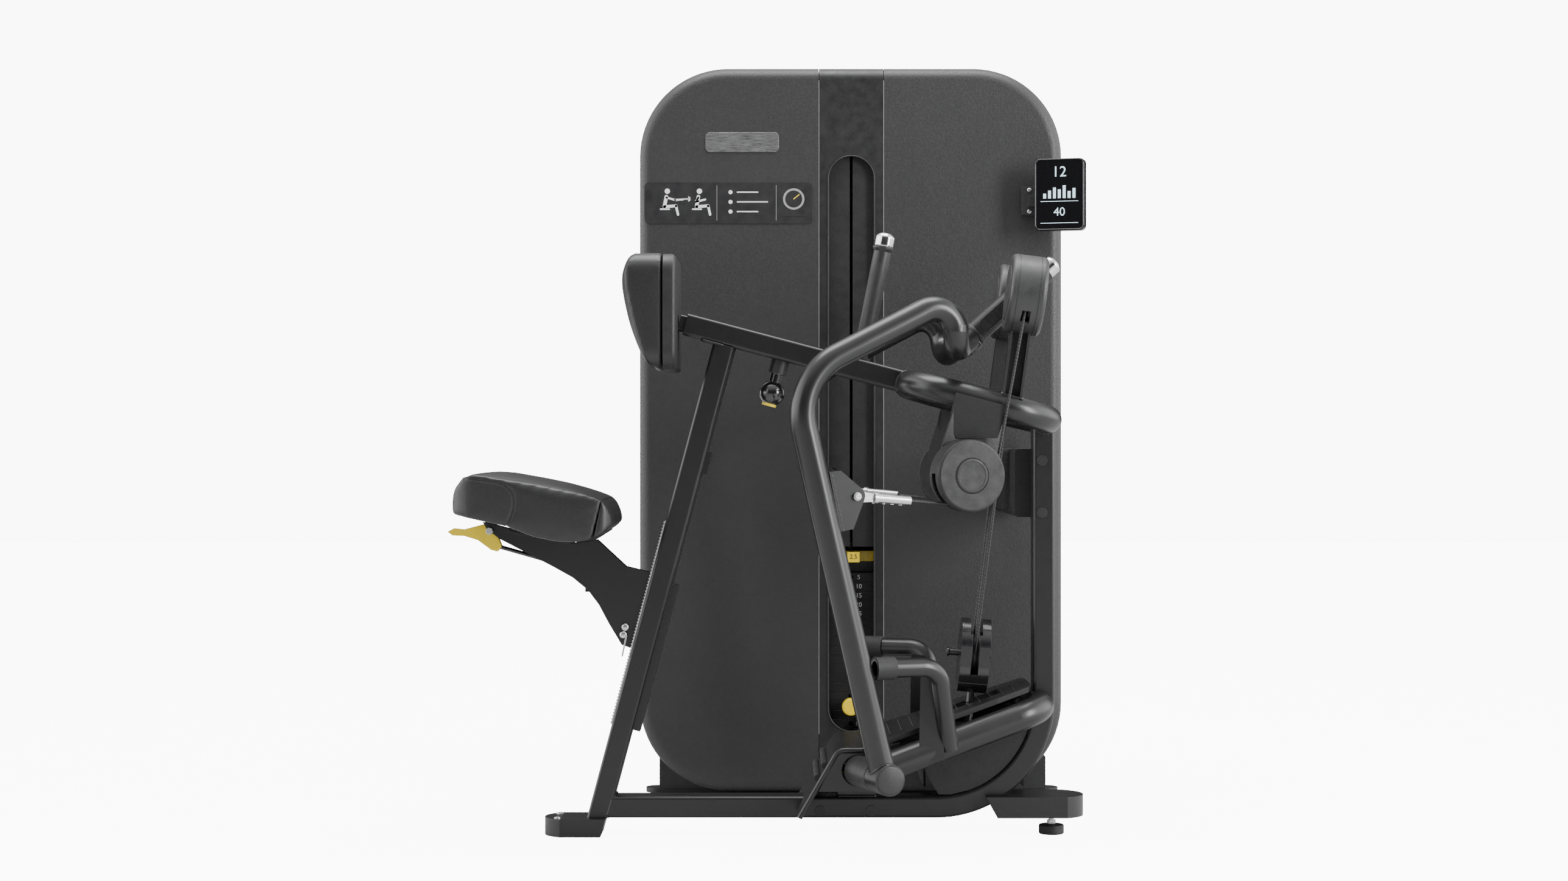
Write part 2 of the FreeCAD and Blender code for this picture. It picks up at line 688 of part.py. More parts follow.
def slot_leaves():
    """Two rubber-edged guard leaves that meet on the slot's centre line above the stack."""
    leaves = []
    for side in (-1, 1):
        inner = STACK_X + side * LEAF_GAP / 2
        outer = STACK_X + side * 58.0
        leaves.append(box((min(inner, outer), max(inner, outer)), (LEAF_Y, LEAF_Y + 3), LEAF_Z))
    return group(*leaves)


def tower_frame():
    """Base box, feet, uprights, top beam, wheel axles and the tie over the guide rods."""
    hollow = base_box(-4.0)
    base = base_box(0).cut(hollow)
    feet = foot_rails(0)
    uprights = [box((x - 20, x + 20), (660, 720), (76, 1400)) for x in (350.0, 790.0)]
    beam = box((330, 810), (660, 720), (1340, 1400))
    axle = rod(V(wheel_x(), 580, TOWER_WHEEL_Z), V(wheel_x(), 660, TOWER_WHEEL_Z), 10.0)
    tie = box((400, 660), (585, 660), (1250, 1262))
    tie = tie.cut(rod(V(STACK_X, STACK_Y, 1200), V(STACK_X, STACK_Y, 1300), 10))
    arms = [box((x - 8, x + 8), (640, 660), (1240, 1350)) for x in (410.0, 650.0)]
    low_axle = rod(V(715, 555, LOW_ROPE_Z + 45), V(751, 555, LOW_ROPE_Z + 45), 8.0)
    low_stand = box((712, 718), (545, 665), (76, LOW_ROPE_Z + 60))
    return joined(base, *feet, *uprights, beam, axle, tie, *arms, low_axle, low_stand)


def wheel_x():
    return (STACK_X + DROP_ROPE_X) / 2


def guide_rods():
    rods = []
    for side in (-1, 1):
        x = STACK_X + side * GUIDE_X
        rods.append(rod(V(x, STACK_Y, 76), V(x, STACK_Y, 1250), GUIDE_R))
    return group(*rods)


def weight_plate(index):
    z = STACK_Z + index * PLATE_PITCH
    half_x, half_y = PLATE_SIZE[0] / 2, PLATE_SIZE[1] / 2
    plate = box((STACK_X - half_x, STACK_X + half_x), (STACK_Y - half_y, STACK_Y + half_y),
                (z, z + PLATE_SIZE[2]))
    plate = plate.cut(rod(V(STACK_X, STACK_Y, z - 1), V(STACK_X, STACK_Y, z + 30), 14.0))
    for side in (-1, 1):
        x = STACK_X + side * GUIDE_X
        plate = plate.cut(rod(V(x, STACK_Y, z - 1), V(x, STACK_Y, z + 30), GUIDE_R + 1.0))
    pin = rod(V(STACK_X, STACK_Y - half_y - 1, z + 9.3), V(STACK_X, STACK_Y, z + 9.3), 5.0)
    return plate.cut(pin)


def resting_plates():
    plates = [weight_plate(k) for k in range(PLATES_STILL)]
    for side in (-1, 1):
        x = STACK_X + side * GUIDE_X
        plates.append(sleeve(V(x, STACK_Y, 76), V(x, STACK_Y, 80), 20.0, GUIDE_R + 0.2))
    return group(*plates)


def lifted_plates():
    return group(*[weight_plate(PLATES_STILL + k) for k in range(PLATES_LIFTED)])


def stack_top():
    return STACK_Z + (PLATES_STILL + PLATES_LIFTED) * PLATE_PITCH


def pin_z():
    return STACK_Z + PLATES_STILL * PLATE_PITCH + 9.3


def stack_stem():
    """Selector bar through the plates, with the head block the rope is made fast to."""
    top = stack_top()
    bar = rod(V(STACK_X, STACK_Y, 84), V(STACK_X, STACK_Y, top), 12.0)
    for k in range(PLATES_STILL + PLATES_LIFTED):
        z = STACK_Z + k * PLATE_PITCH + 9.3
        bar = bar.cut(rod(V(STACK_X, STACK_Y - 20, z), V(STACK_X, STACK_Y + 20, z), 5.0))
    head = box((STACK_X - 130, STACK_X + 130), (STACK_Y - 40, STACK_Y + 40), (top, top + 22))
    for side in (-1, 1):
        x = STACK_X + side * GUIDE_X
        head = head.cut(rod(V(x, STACK_Y, top - 1), V(x, STACK_Y, top + 60), GUIDE_R + 0.5))
    neck = rod(V(STACK_X, STACK_Y, top + 22), V(STACK_X, STACK_Y, top + 62), 9.0)
    return joined(bar, head, neck)


def selector_pin():
    """Selector pin: steel pin and round pull knob."""
    front = STACK_Y - PLATE_SIZE[1] / 2
    pin = rod(V(STACK_X, front - 12, pin_z()), V(STACK_X, STACK_Y + 10, pin_z()), 4.9)
    knob = turned_disc(V(STACK_X - 1, front - 24, pin_z()), ACROSS, 18.0, 12.0, 4.0)
    return joined(pin, knob)


def increment_weight():
    """Small add-on weight on the head, drawn forwards by its finger tab in the slot."""
    top = stack_top() + 22
    body = box((STACK_X - 60, STACK_X + 60), (STACK_Y - 38, STACK_Y - 12), (top + 0.4, top + 22))
    neck = box((STACK_X - 2, STACK_X + 2), (LEAF_Y - 4, STACK_Y - 38), (top + 4, top + 20))
    tab = box((STACK_X - 8, STACK_X + 17), (LEAF_Y - 9, LEAF_Y - 3), (top + 1, top + 22))
    return joined(body, neck, tab)


def stack_rope():
    return rod(V(STACK_X, STACK_Y, stack_top() + 62.5), V(STACK_X, STACK_Y, TOWER_WHEEL_Z), ROPE_R)


def tower_wheel():
    reach = (DROP_ROPE_X - STACK_X) / 2 - ROPE_R - 0.8
    return grooved_wheel(V(wheel_x(), STACK_Y, TOWER_WHEEL_Z), ACROSS, reach, 9.0, 10.05)


def tower_low_wheel():
    return grooved_wheel(V(DROP_ROPE_X, 555, LOW_ROPE_Z + 45), V(1, 0, 0), 38.0, 9.0, 8.05)


def base_wheel():
    return grooved_wheel(V(DROP_ROPE_X, 42, LOW_ROPE_Z + 45), V(1, 0, 0), 38.0, 9.0, 8.05)


def lift_ropes():
    """Rope runs that keep their shape: side pulley to top pulley on both sides, and block rod to tower."""
    low = SIDE_AT + ARM_U * (WHEEL_PITCH + ROPE_R) + UP * 4
    high = TOP_AT + V(0, -TOP_PITCH - ROPE_R - 0.8, 0)
    run = rod(low, high, ROPE_R)
    clear = V(DROP_ROPE_X, 0, LOW_ROPE_Z + 2)
    base = rod(clear + V(0, 48, 0), clear + V(0, 549, 0), ROPE_R)
    x = DROP_ROPE_X
    drop = rod(V(x, 597.5, LOW_ROPE_Z + 50), V(x, 600, TOWER_WHEEL_Z), ROPE_R)
    return group(run, mirrored(run), base, drop)


def duct_head(grow, y_low, y_high):
    """Head of the rope duct, tucked into the base tube's bend; `grow` is negative for its inside."""
    outline = [(677 - grow, 76 + grow * 2), (700, 76 + grow * 2), (765, 92), (818, 132), (846 + grow, 180),
               (847 + grow, 199 + grow), (640 - grow, 199 + grow), (655 - grow, 113)]
    return plate_xz(outline, y_low, y_high)


def link_covers():
    """Duct that leads the rope from the base bend to the tower, and the box that ties the post to it."""
    wall = 4.0
    head = duct_head(0, -24, 95).cut(duct_head(-wall, -24 + wall, 95 - wall))
    low = box((655, 847), (91, 499.8), (76, 140)).cut(box((659, 843), (85, 510), (70, 136)))
    rope_hole = rod(V(DROP_ROPE_X, 0, 190), V(DROP_ROPE_X, 0, 205), 9.0)
    head = head.cut(box((659, 843), (90, 96), (70, 136))).cut(rope_hole)
    axle = rod(V(711, 42, LOW_ROPE_Z + 45), V(755, 42, LOW_ROPE_Z + 45), 8.0)
    hanger = box((711, 716), (35, 60), (130, 196))
    duct = joined(head, low, axle, hanger)
    tie_face = rounded_face(V(851.5, 30, 654), ACROSS, V(1, 0, 0), 128.0, 57.0, 9.0)
    tie = tie_face.extrude(V(0, 469.8, 0)).cut(box((827, 876), (36, 520), (594, 714)))
    tube = box_tube([V(40, 0, BASE_Z), V(POST_X, 0, BASE_Z), V(POST_X, 0, POST_TOP + 10)], BASE_BEND,
                    TUBE_H + 1, TUBE_W, 0, TUBE_CORNER)
    return group(largest(duct.cut(tube)), largest(tie.cut(base_tube_solid(0))))


def tower_placards():
    """Exercise placard with one rounded end, and the blank name plate above it."""
    y = TOWER_Y[0]
    board = rounded_face(V(276, y, 1223), V(0, -1, 0), V(1, 0, 0), 86.0, 346.0, 10.0).extrude(V(0, -1.2, 0))
    name = rounded_face(V(304, y, 1348), V(0, -1, 0), V(1, 0, 0), 40.0, 150.0, 8.0).extrude(V(0, -2.0, 0))
    return group(board, name)


# ---------------------------------------------------------------- arms
def arm_tube_right():
    """Arm weldment: hub, bent tube, rope bracket and the eye the handle turns in."""
    path = [in_arm(s, z) for s, z in ARM_PATH]
    foot = V(*HANDLE_FOOT)
    reach = (foot - path[3]).normalize()
    first = sweep(path[:2] + [midway(path[1], path[2])], 115.0, lambda at, al: disc_face(at, al, ARM_R))
    second = sweep([midway(path[1], path[2]), path[2], path[3], foot - reach * 14], 42.0,
                   lambda at, al: disc_face(at, al, ARM_R))
    tube = joined(first, second)
    inner_first = sweep(path[:2] + [midway(path[1], path[2])], 115.0,
                        lambda at, al: disc_face(at, al, ARM_R - ARM_WALL))
    inner_second = sweep([midway(path[1], path[2]), path[2], path[3], foot - reach * 40], 42.0,
                         lambda at, al: disc_face(at, al, ARM_R - ARM_WALL))
    tube = tube.cut(joined(inner_first, inner_second))
    hub = rod(in_arm(0, HUB[2], HUB_IN), in_arm(0, HUB[2], HUB_OUT), HUB_R)
    eye = rod(foot - handle_axis() * 15, foot + handle_axis() * 13, 26.0)
    for side, end in ((1, 13), (-1, 15)):
        tube = tube.cut(rod(foot + handle_axis() * (side * end), foot + handle_axis() * (side * 70), 34.0))
    arm = joined(largest(tube), hub, eye, *rope_lug())
    bore = rod(in_arm(0, HUB[2], HUB_IN - 1), in_arm(0, HUB[2], HUB_OUT - 5), SHAFT_R + RUN_GAP)
    swivel = rod(foot - handle_axis() * 16, foot + handle_axis() * 14, 12.0 + RUN_GAP)
    return largest(arm.cut(bore).cut(swivel))


def rope_lug():
    """Two plates on the arm that carry the rope's pin, and the pin with its head."""
    outline = [(-111, 678), (-86, 681), (-45, 648), (-40, 636), (-43, 626), (-62, 578), (-86.5, 574)]
    plates = [plate_in_arm(outline, n, n + 4) for n in (-11, 7)]
    pin = rod(in_arm(*ROPE_PIN, -14), in_arm(*ROPE_PIN, 15), 5.0)
    head = rod(in_arm(*ROPE_PIN, 11), in_arm(*ROPE_PIN, 16), 7.5)
    return [*plates, pin, head]


def midway(a, b):
    return a + (b - a) * 0.5


def handle_axis():
    return V(*HANDLE_DIR).normalize()


def handle_right():
    """Turning grip: a stub in the arm's eye, a rounded flat-sided body and a domed cap."""
    foot = V(*HANDLE_FOOT)
    axis = handle_axis()
    stub = rod(foot - axis * 17.5, foot + axis * 16, 12.0)
    keeper = rod(foot - axis * 20.5, foot - axis * 15.6, 17.0)
    grip = rounded_face(foot + axis * 14, axis, V(0, 1, 0), 42.0, 36.0, 15.0).extrude(axis * HANDLE_LEN)
    end = foot + axis * (14 + HANDLE_LEN)
    cap = turned_disc(end + axis * (CAP_LEN / 2), axis, 17.5, CAP_LEN / 2, 6.0)
    return joined(stub, keeper, grip, cap)


def rope_fitting_right():
    """Flat eye, ring and clamp barrel at the end of the row rope; the eye is opened wide round the pin."""
    back = -ROPE_UNIT
    pin = ROPE_PIN_AT
    side = V(back).cross(ARM_N).normalize()
    start = pin - ARM_N * 5
    eye = rod(start, pin + ARM_N * 5, 13.5)
    neck = slab_from([start + side * 11, start + side * 6.5 + back * 37, start - side * 6.5 + back * 37,
                      start - side * 11], ARM_N * 10)
    ring = rod(pin + back * 36, pin + back * 43, 10.5)
    barrel = rod(pin + back * 43, pin + back * (FITTING_LEN - 2), 8.5)
    body = joined(eye, neck, ring, barrel)
    body = body.cut(rod(pin - ARM_N * 20, pin + ARM_N * 20, 5.0 + OPEN_PIVOT_GAP))
    return body.cut(rod(pin + back * 60, pin + back * 200, ROPE_R + 0.4))


def row_rope_right():
    start = ROPE_START
    end = ROPE_PIN_AT - ROPE_UNIT * (FITTING_LEN - 24)
    return rod(start - ROPE_UNIT * 0.5, end, ROPE_R)


def side_wheel_right():
    return grooved_wheel(SIDE_AT, ARM_N, WHEEL_PITCH - ROPE_R - 0.6, 9.0, 8.0 + RUN_GAP)


def top_wheel_right():
    return grooved_wheel(TOP_AT, TOP_AXIS, TOP_PITCH, 9.0, 8.0 + RUN_GAP)


# ---------------------------------------------------------------- floating block
def block_at(up=0.0, y=0.0, along=0.0):
    return BLOCK_AT + BLOCK_UP * up + V(0, y, 0) + BLOCK_AXIS * along


def block_oblong(radius, half, along, low, high):
    """Oblong body in the plane of the block's wheel."""
    a = block_at(low, 0, along - half)
    b = block_at(high, 0, along - half)
    shape = rod(a, a + BLOCK_AXIS * (2 * half), radius).fuse(rod(b, b + BLOCK_AXIS * (2 * half), radius))
    side = V(0, radius, 0)
    middle = slab_from([a - side, a + side, b + side, b - side], BLOCK_AXIS * (2 * half))
    return joined(shape, middle)


def block_housing():
    """Housing of the floating pulley, with its axle, grab pin, bolt head and pull rod."""
    body = block_oblong(BLOCK_R, BLOCK_HALF_W, 0, -22, 16)
    hollow = block_oblong(BLOCK_R - 5, 11.0, 0, -22, 60)
    body = body.cut(hollow)
    axle = rod(block_at(0, 0, -11.5), block_at(0, 0, 11.5), 8.0)
    pin = rod(block_at(0, 0, -BLOCK_HALF_W - 20), block_at(0, 0, -BLOCK_HALF_W + 0.5), 6.0)
    pin_tip = turned_disc(block_at(0, 0, -BLOCK_HALF_W - 21), BLOCK_AXIS, 8.0, 3.0, 2.0)
    head = rod(block_at(0, 0, BLOCK_HALF_W - 0.5), block_at(0, 0, BLOCK_HALF_W + 5), 8.0)
    pull = rod(block_at(-71), block_at(-PULL_ROD_END), 7.0)
    for side in (-1, 1):
        body = body.cut(rope_mouth(side))
    return joined(body, axle, pin, pin_tip, head, pull)


def rope_mouth(side):
    """Slot in the housing's edge that one strand comes out of."""
    low, high = block_at(-36, side * 34, -7), block_at(80, side * 34, -7)
    out = V(0, side * 20, 0)
    return slab_from([low, low + out, high + out, high], BLOCK_AXIS * 14)


def block_wheel():
    return grooved_wheel(BLOCK_AT, BLOCK_AXIS, BLOCK_PITCH, 8.0, 8.0 + RUN_GAP)


def block_ropes():
    """The strands that change length: two from the top pulleys to the block, one below its rod."""
    high = TOP_AT + V(-2, TOP_PITCH + ROPE_R + 0.8, 0)
    low = block_at(6, -BLOCK_PITCH - ROPE_R - 0.6)
    strand = rod(low, high, ROPE_R)
    drop = rod(block_at(-PULL_ROD_END - 0.5), V(DROP_ROPE_X, 0, LOW_ROPE_Z + 45), ROPE_R)
    return group(strand, mirrored(strand), drop)


# ---------------------------------------------------------------- seat
def seat_carriage():
    """Two side plates under the seat, joined to a slider inside the column."""
    outline = [(-171, 583), (-163, 570), (-139, 551), (-39, 499), (-3, 479), (25, 456), (46, 428),
               (64, 394), (88, 354), (107, 347), (145, 487), (96, 499), (42, 549), (-3, 543), (-127, 571)]
    plate = plate_xz(outline, -20, -14)
    lever_pin = rod(V(-156.6, -27, 566), V(-156.6, 27, 566), 6.0)
    slider = box_on_column((330, 465), (-14, 14.5), 25)
    spacer = box((20, 60), (-14, 14), (452, 470))
    bolts = []
    for x, z in ((95.0, 387.0), (91.5, 373.0)):
        bolts.append(rod(V(x, -24, z), V(x, 24, z), 5.5))
    top = plate_xz([(-120, 565), (-120, 569), (-3, 546.5), (-3, 542.5)], -60, 60)
    tongue = box_on_column((330, 465), (-13, 22), 20)
    pointer = plate_xz([(96, 372), (99, 372), (91, 333), (88, 333)], -30, -24)
    body = joined(plate, mirrored(plate), lever_pin, tongue, slider, spacer, *bolts, top, pointer)
    return largest(body)


def seat_cushion():
    """Plain padded block; its top falls towards the user's knees."""
    outline = [(-211, 600), (-205, 640), (-190, 662), (-165, 675), (-60, 662), (62, 633), (84, 590),
               (84, 572), (40, 553), (-3, 548), (-127, 577), (-205, 590)]
    block = plate_xz(outline, -175, 175)
    plan = rounded_face(V(-62, 0, 500), UP, V(0, 1, 0), 300.0, 350.0, 80.0).extrude(V(0, 0, 200))
    return largest(block.common(plan))


def seat_lever():
    """Release lever between the plates, in front of the seat's rear edge."""
    outline = [(-237, 564), (-226, 570), (-208, 568), (-170, 578), (-150, 573), (-136, 536), (-144, 527),
               (-156, 530), (-180, 548), (-206, 556), (-228, 557)]
    lever = plate_xz(outline, -11, 11)
    lever = lever.cut(rod(V(-156.6, -20, 566), V(-156.6, 20, 566), 6.0 + RUN_GAP))
    lever = lever.cut(box((-160, -130), (-5, 5), (520, 548)))
    return largest(lever)


def seat_pull_rod():
    start = V(-142, 0, 536)
    end = V(30, 0, 487)
    return rod(start, end, 4.0)


# ---------------------------------------------------------------- chest pad
def chest_slide_tube():
    return box_tube([on_beam(-12), on_beam(CHEST_TUBE_LEN)], 0, 30.0, 50.0, 2.5, 4.0)


def chest_backing():
    """Shell behind the pad with the mounting plate for the slide tube."""
    face = rounded_face(V(CHEST_X[1], 0, sum(CHEST_Z) / 2), V(1, 0, 0), V(0, 1, 0),
                        CHEST_Z[1] - CHEST_Z[0], 2 * CHEST_HALF_W, 34.0)
    shell = face.extrude(V(CHEST_SHELL, 0, 0))
    rims = [e for e in shell.Edges if all(abs(v.X - CHEST_X[1] - CHEST_SHELL) < 0.1 for v in e.Vertexes)]
    shell = shell.makeFillet(7.0, rims)
    envelope = box_tube([on_beam(-12), on_beam(CHEST_TUBE_LEN)], 0, 30.0, 50.0, 0, 4.0)
    return largest(shell.cut(envelope))


def chest_pad():
    """Plain pad, thicker at the top."""
    outline = [(102, CHEST_Z[1]), (CHEST_X[1] - 0.5, CHEST_Z[1]), (CHEST_X[1] - 0.5, CHEST_Z[0]),
               (137, CHEST_Z[0]), (100, 940)]
    pad = plate_xz(outline, -CHEST_HALF_W, CHEST_HALF_W)
    limits = rounded_face(V(60, 0, sum(CHEST_Z) / 2), V(1, 0, 0), V(0, 1, 0),
                          CHEST_Z[1] - CHEST_Z[0], 2 * CHEST_HALF_W, 34.0).extrude(V(150, 0, 0))
    pad = pad.common(limits)
    crown = box((CHEST_X[0], 101.5), (-110, 110), (900, 1050))
    return largest(joined(pad, crown.common(limits)))


def lock_knob():
    """Pull knob of the chest-pad lock, with its pin up into the beam."""
    pin = rod(on_beam(LOCK_AT, -15.3), on_beam(LOCK_AT, -60), 6.0)
    neck = rod(on_beam(LOCK_AT, -47), on_beam(LOCK_AT, -66), 12.0)
    ball = Part.makeSphere(24.0, on_beam(LOCK_AT, -83))
    ring = rod(on_beam(LOCK_AT, -100), on_beam(LOCK_AT, -108), 13.5)
    return joined(pin, neck, ball, ring)


# ---------------------------------------------------------------- display
def display_bracket():
    """Foot on the tower, with an arm that ends in the display's upright pin."""
    foot = box((878, 908), (484, 499.8), (1197, 1255))
    arm = box((890, 974), (476, 490), (1214, 1236))
    pin = rod(V(*DISPLAY_PIN, 1236), V(*DISPLAY_PIN, 1262), 5.0)
    return joined(foot, arm, pin)


def display_frame(y_low, y_high, inset, corner):
    right, front = display_sides()
    at = V(*DISPLAY) + front * y_low
    face = rounded_face(at, front, right, DISPLAY_SIZE[2] - 2 * inset, DISPLAY_SIZE[0] - 2 * inset, corner)
    return face.extrude(front * (y_high - y_low))


def display_sides():
    yaw = math.radians(DISPLAY_YAW)
    return V(math.cos(yaw), -math.sin(yaw), 0), V(-math.sin(yaw), -math.cos(yaw), 0)


def display_shell():
    """Screen housing with a round hump behind and the knuckle it turns on."""
    front = display_sides()[1]
    at = V(*DISPLAY)
    hump = rod(at - front * 11, at - front * 27, 36.0)
    knuckle = rod(V(*DISPLAY_PIN, 1237), V(*DISPLAY_PIN, 1260), 13.0)
    neck = box((953, 971), (448, 478), (1240, 1258))
    body = joined(display_frame(-12, 9, 0, 10.0), hump, knuckle, neck)
    return body.cut(rod(V(*DISPLAY_PIN, 1230), V(*DISPLAY_PIN, 1270), 5.0 + RUN_GAP))


def display_glass():
    return display_frame(9.05, 12, 1.5, 9.0)


# ---------------------------------------------------------------- every node by name
def all_parts():
    arm = arm_tube_right()
    handle = handle_right()
    fitting = rope_fitting_right()
    row_rope = row_rope_right()
    side_wheel = side_wheel_right()
    top_wheel = top_wheel_right()
    beam = group(upper_beam(), lock_collar())
    return {
        "base_tube": base_tube(), "seat_column": seat_column(), "upper_beam": beam,
        "upper_ring": upper_ring(), "fork_tubes": fork_tubes(), "frame_feet": frame_feet(),
        "levelling_foot": levelling_foot(), "foot_platform": foot_platform(),
        "rubber_buffers": rubber_buffers(), "pivot_shafts": pivot_shafts(), "tube_plugs": tube_plugs(),
        "seat_rack": seat_rack(), "fixed_grip": fixed_grip(), "pulley_brackets": pulley_brackets(),
        "side_pulley_covers": side_pulley_covers(), "top_pulley_covers": top_pulley_covers(),
        "link_covers": link_covers(), "tower_frame": tower_frame(),
        "tower_left_cover": tower_cover(0, STRIP_X[0]), "tower_right_cover": tower_cover(STRIP_X[1], 1100),
        "tower_centre_panel": tower_centre_panel(), "slot_leaves": slot_leaves(),
        "guide_rods": guide_rods(), "resting_plates": resting_plates(), "lifted_plates": lifted_plates(),
        "stack_stem": stack_stem(), "selector_pin": selector_pin(), "increment_weight": increment_weight(),
        "stack_rope": stack_rope(), "tower_wheel": tower_wheel(), "tower_low_wheel": tower_low_wheel(),
        "base_wheel": base_wheel(), "lift_ropes": lift_ropes(), "tower_placards": tower_placards(),
        "display_bracket": display_bracket(), "display_shell": display_shell(),
        "display_glass": display_glass(), "block_housing": block_housing(), "block_wheel": block_wheel(),
        "block_ropes": block_ropes(), "seat_carriage": seat_carriage(), "seat_cushion": seat_cushion(),
        "seat_lever": seat_lever(), "seat_pull_rod": seat_pull_rod(),
        "chest_slide_tube": chest_slide_tube(), "chest_backing": chest_backing(), "chest_pad": chest_pad(),
        "lock_knob": lock_knob(),
        "right_arm_tube": arm, "left_arm_tube": mirrored(arm),
        "right_handle": handle, "left_handle": mirrored(handle),
        "right_rope_fitting": fitting, "left_rope_fitting": mirrored(fitting),
        "right_row_rope": row_rope, "left_row_rope": mirrored(row_rope),
        "right_side_wheel": side_wheel, "left_side_wheel": mirrored(side_wheel),
        "right_top_wheel": top_wheel, "left_top_wheel": mirrored(top_wheel),
    }


os.makedirs("parts", exist_ok=True)
for name, shape in all_parts().items():
    shape.exportStep("parts/" + name + ".step")
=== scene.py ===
import math

import bmesh
import bpy
from mathutils import Matrix, Vector
from mathutils.bvhtree import BVHTree


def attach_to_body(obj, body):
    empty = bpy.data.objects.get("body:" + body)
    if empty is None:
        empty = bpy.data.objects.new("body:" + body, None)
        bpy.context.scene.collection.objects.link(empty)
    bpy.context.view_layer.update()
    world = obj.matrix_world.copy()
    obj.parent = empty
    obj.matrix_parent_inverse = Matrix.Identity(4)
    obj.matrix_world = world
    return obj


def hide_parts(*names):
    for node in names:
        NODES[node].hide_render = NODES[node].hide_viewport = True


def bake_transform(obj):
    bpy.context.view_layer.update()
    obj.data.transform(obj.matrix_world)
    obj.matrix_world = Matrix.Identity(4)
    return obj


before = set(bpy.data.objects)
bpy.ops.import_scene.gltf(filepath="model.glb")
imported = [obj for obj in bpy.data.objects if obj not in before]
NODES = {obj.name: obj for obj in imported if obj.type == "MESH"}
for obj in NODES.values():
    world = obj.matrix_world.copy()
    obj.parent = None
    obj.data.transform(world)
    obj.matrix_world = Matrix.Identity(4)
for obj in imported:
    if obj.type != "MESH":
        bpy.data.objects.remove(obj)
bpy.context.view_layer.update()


# ---------------------------------------------------------------- materials
class Graph:
    """A material's node tree with one Principled shader."""

    def __init__(self, name):
        self.material = bpy.data.materials.new(name)
        self.material.use_nodes = True
        self.tree = self.material.node_tree
        self.shader = next(n for n in self.tree.nodes if n.type == "BSDF_PRINCIPLED")
        self.place = self.add("ShaderNodeTexCoord").outputs["Object"]

    def add(self, kind, **settings):
        node = self.tree.nodes.new(kind)
        for key, value in settings.items():
            setattr(node, key, value)
        return node

    def link(self, source, target):
        self.tree.links.new(source, target)

    def stretched(self, scale):
        mapping = self.add("ShaderNodeMapping")
        mapping.inputs["Scale"].default_value = scale
        self.link(self.place, mapping.inputs["Vector"])
        return mapping.outputs["Vector"]

    def noise(self, scale, detail=4.0, rough=0.55, where=None):
        node = self.add("ShaderNodeTexNoise")
        node.inputs["Scale"].default_value = scale
        node.inputs["Detail"].default_value = detail
        node.inputs["Roughness"].default_value = rough
        self.link(where or self.place, node.inputs["Vector"])
        return node.outputs["Fac"]

    def cells(self, scale, feature="F1", where=None):
        node = self.add("ShaderNodeTexVoronoi", feature=feature)
        node.inputs["Scale"].default_value = scale
        self.link(where or self.place, node.inputs["Vector"])
        return node.outputs["Distance"]

    def span(self, value, low, high, source_low=0.3, source_high=0.7):
        node = self.add("ShaderNodeMapRange")
        self.link(value, node.inputs["Value"])
        node.inputs["From Min"].default_value = source_low
        node.inputs["From Max"].default_value = source_high
        node.inputs["To Min"].default_value = low
        node.inputs["To Max"].default_value = high
        return node.outputs["Result"]

    def mix(self, factor, first, second):
        node = self.add("ShaderNodeMix", data_type="RGBA")
        self.link(factor, node.inputs["Factor"])
        for socket, colour in ((node.inputs[6], first), (node.inputs[7], second)):
            if isinstance(colour, tuple):
                socket.default_value = (*colour[:3], 1.0)
            else:
                self.link(colour, socket)
        return node.outputs[2]

    def plus(self, first, second, weight=1.0):
        node = self.add("ShaderNodeMath", operation="MULTIPLY_ADD")
        self.link(second, node.inputs[0])
        node.inputs[1].default_value = weight
        self.link(first, node.inputs[2])
        return node.outputs[0]

    def bump(self, height, depth, edge=0.0):
        node = self.add("ShaderNodeBump")
        node.inputs["Strength"].default_value = 1.0
        node.inputs["Distance"].default_value = depth
        self.link(height, node.inputs["Height"])
        if edge:
            rounded = self.add("ShaderNodeBevel")
            rounded.samples = 4
            rounded.inputs["Radius"].default_value = edge
            self.link(rounded.outputs["Normal"], node.inputs["Normal"])
        self.link(node.outputs["Normal"], self.shader.inputs["Normal"])

    def colour(self, value):
        self.link(value, self.shader.inputs["Base Color"])

    def roughness(self, value):
        self.link(value, self.shader.inputs["Roughness"])

    def set(self, **values):
        for key, value in values.items():
            self.shader.inputs[key.replace("_", " ")].default_value = value


def shade(colour, factor):
    return tuple(min(1.0, c * factor) for c in colour)


def paint(name, colour, rough=0.38, peel=0.00003, edge=0.0012, spread=0.07):
    """Powder-coated or sprayed metal: fine orange peel and slightly uneven gloss."""
    g = Graph(name)
    cloud = g.noise(7.0, 3.0)
    speck = g.noise(850.0, 2.0)
    patchy = g.span(g.plus(cloud, speck, 0.4), 0.0, 1.0, 0.5, 0.9)
    g.colour(g.mix(patchy, shade(colour, 0.86), shade(colour, 1.14)))
    g.roughness(g.span(g.noise(38.0, 5.0), rough - spread, rough + spread))
    g.bump(speck, peel, edge)
    return g.material


def plastic(name, colour, rough=0.5, grain=420.0, depth=0.00006, edge=0.0008, spread=0.08):
    """Moulded plastic with a fine spark-eroded grain."""
    g = Graph(name)
    cloud = g.noise(11.0, 3.0)
    pits = g.cells(grain)
    g.colour(g.mix(g.span(cloud, 0.0, 1.0), shade(colour, 0.88), shade(colour, 1.12)))
    g.roughness(g.plus(g.span(g.noise(50.0, 4.0), rough - spread, rough + spread), pits, 0.06))
    g.bump(g.plus(pits, g.noise(grain * 2.2, 2.0), 0.5), depth, edge)
    return g.material


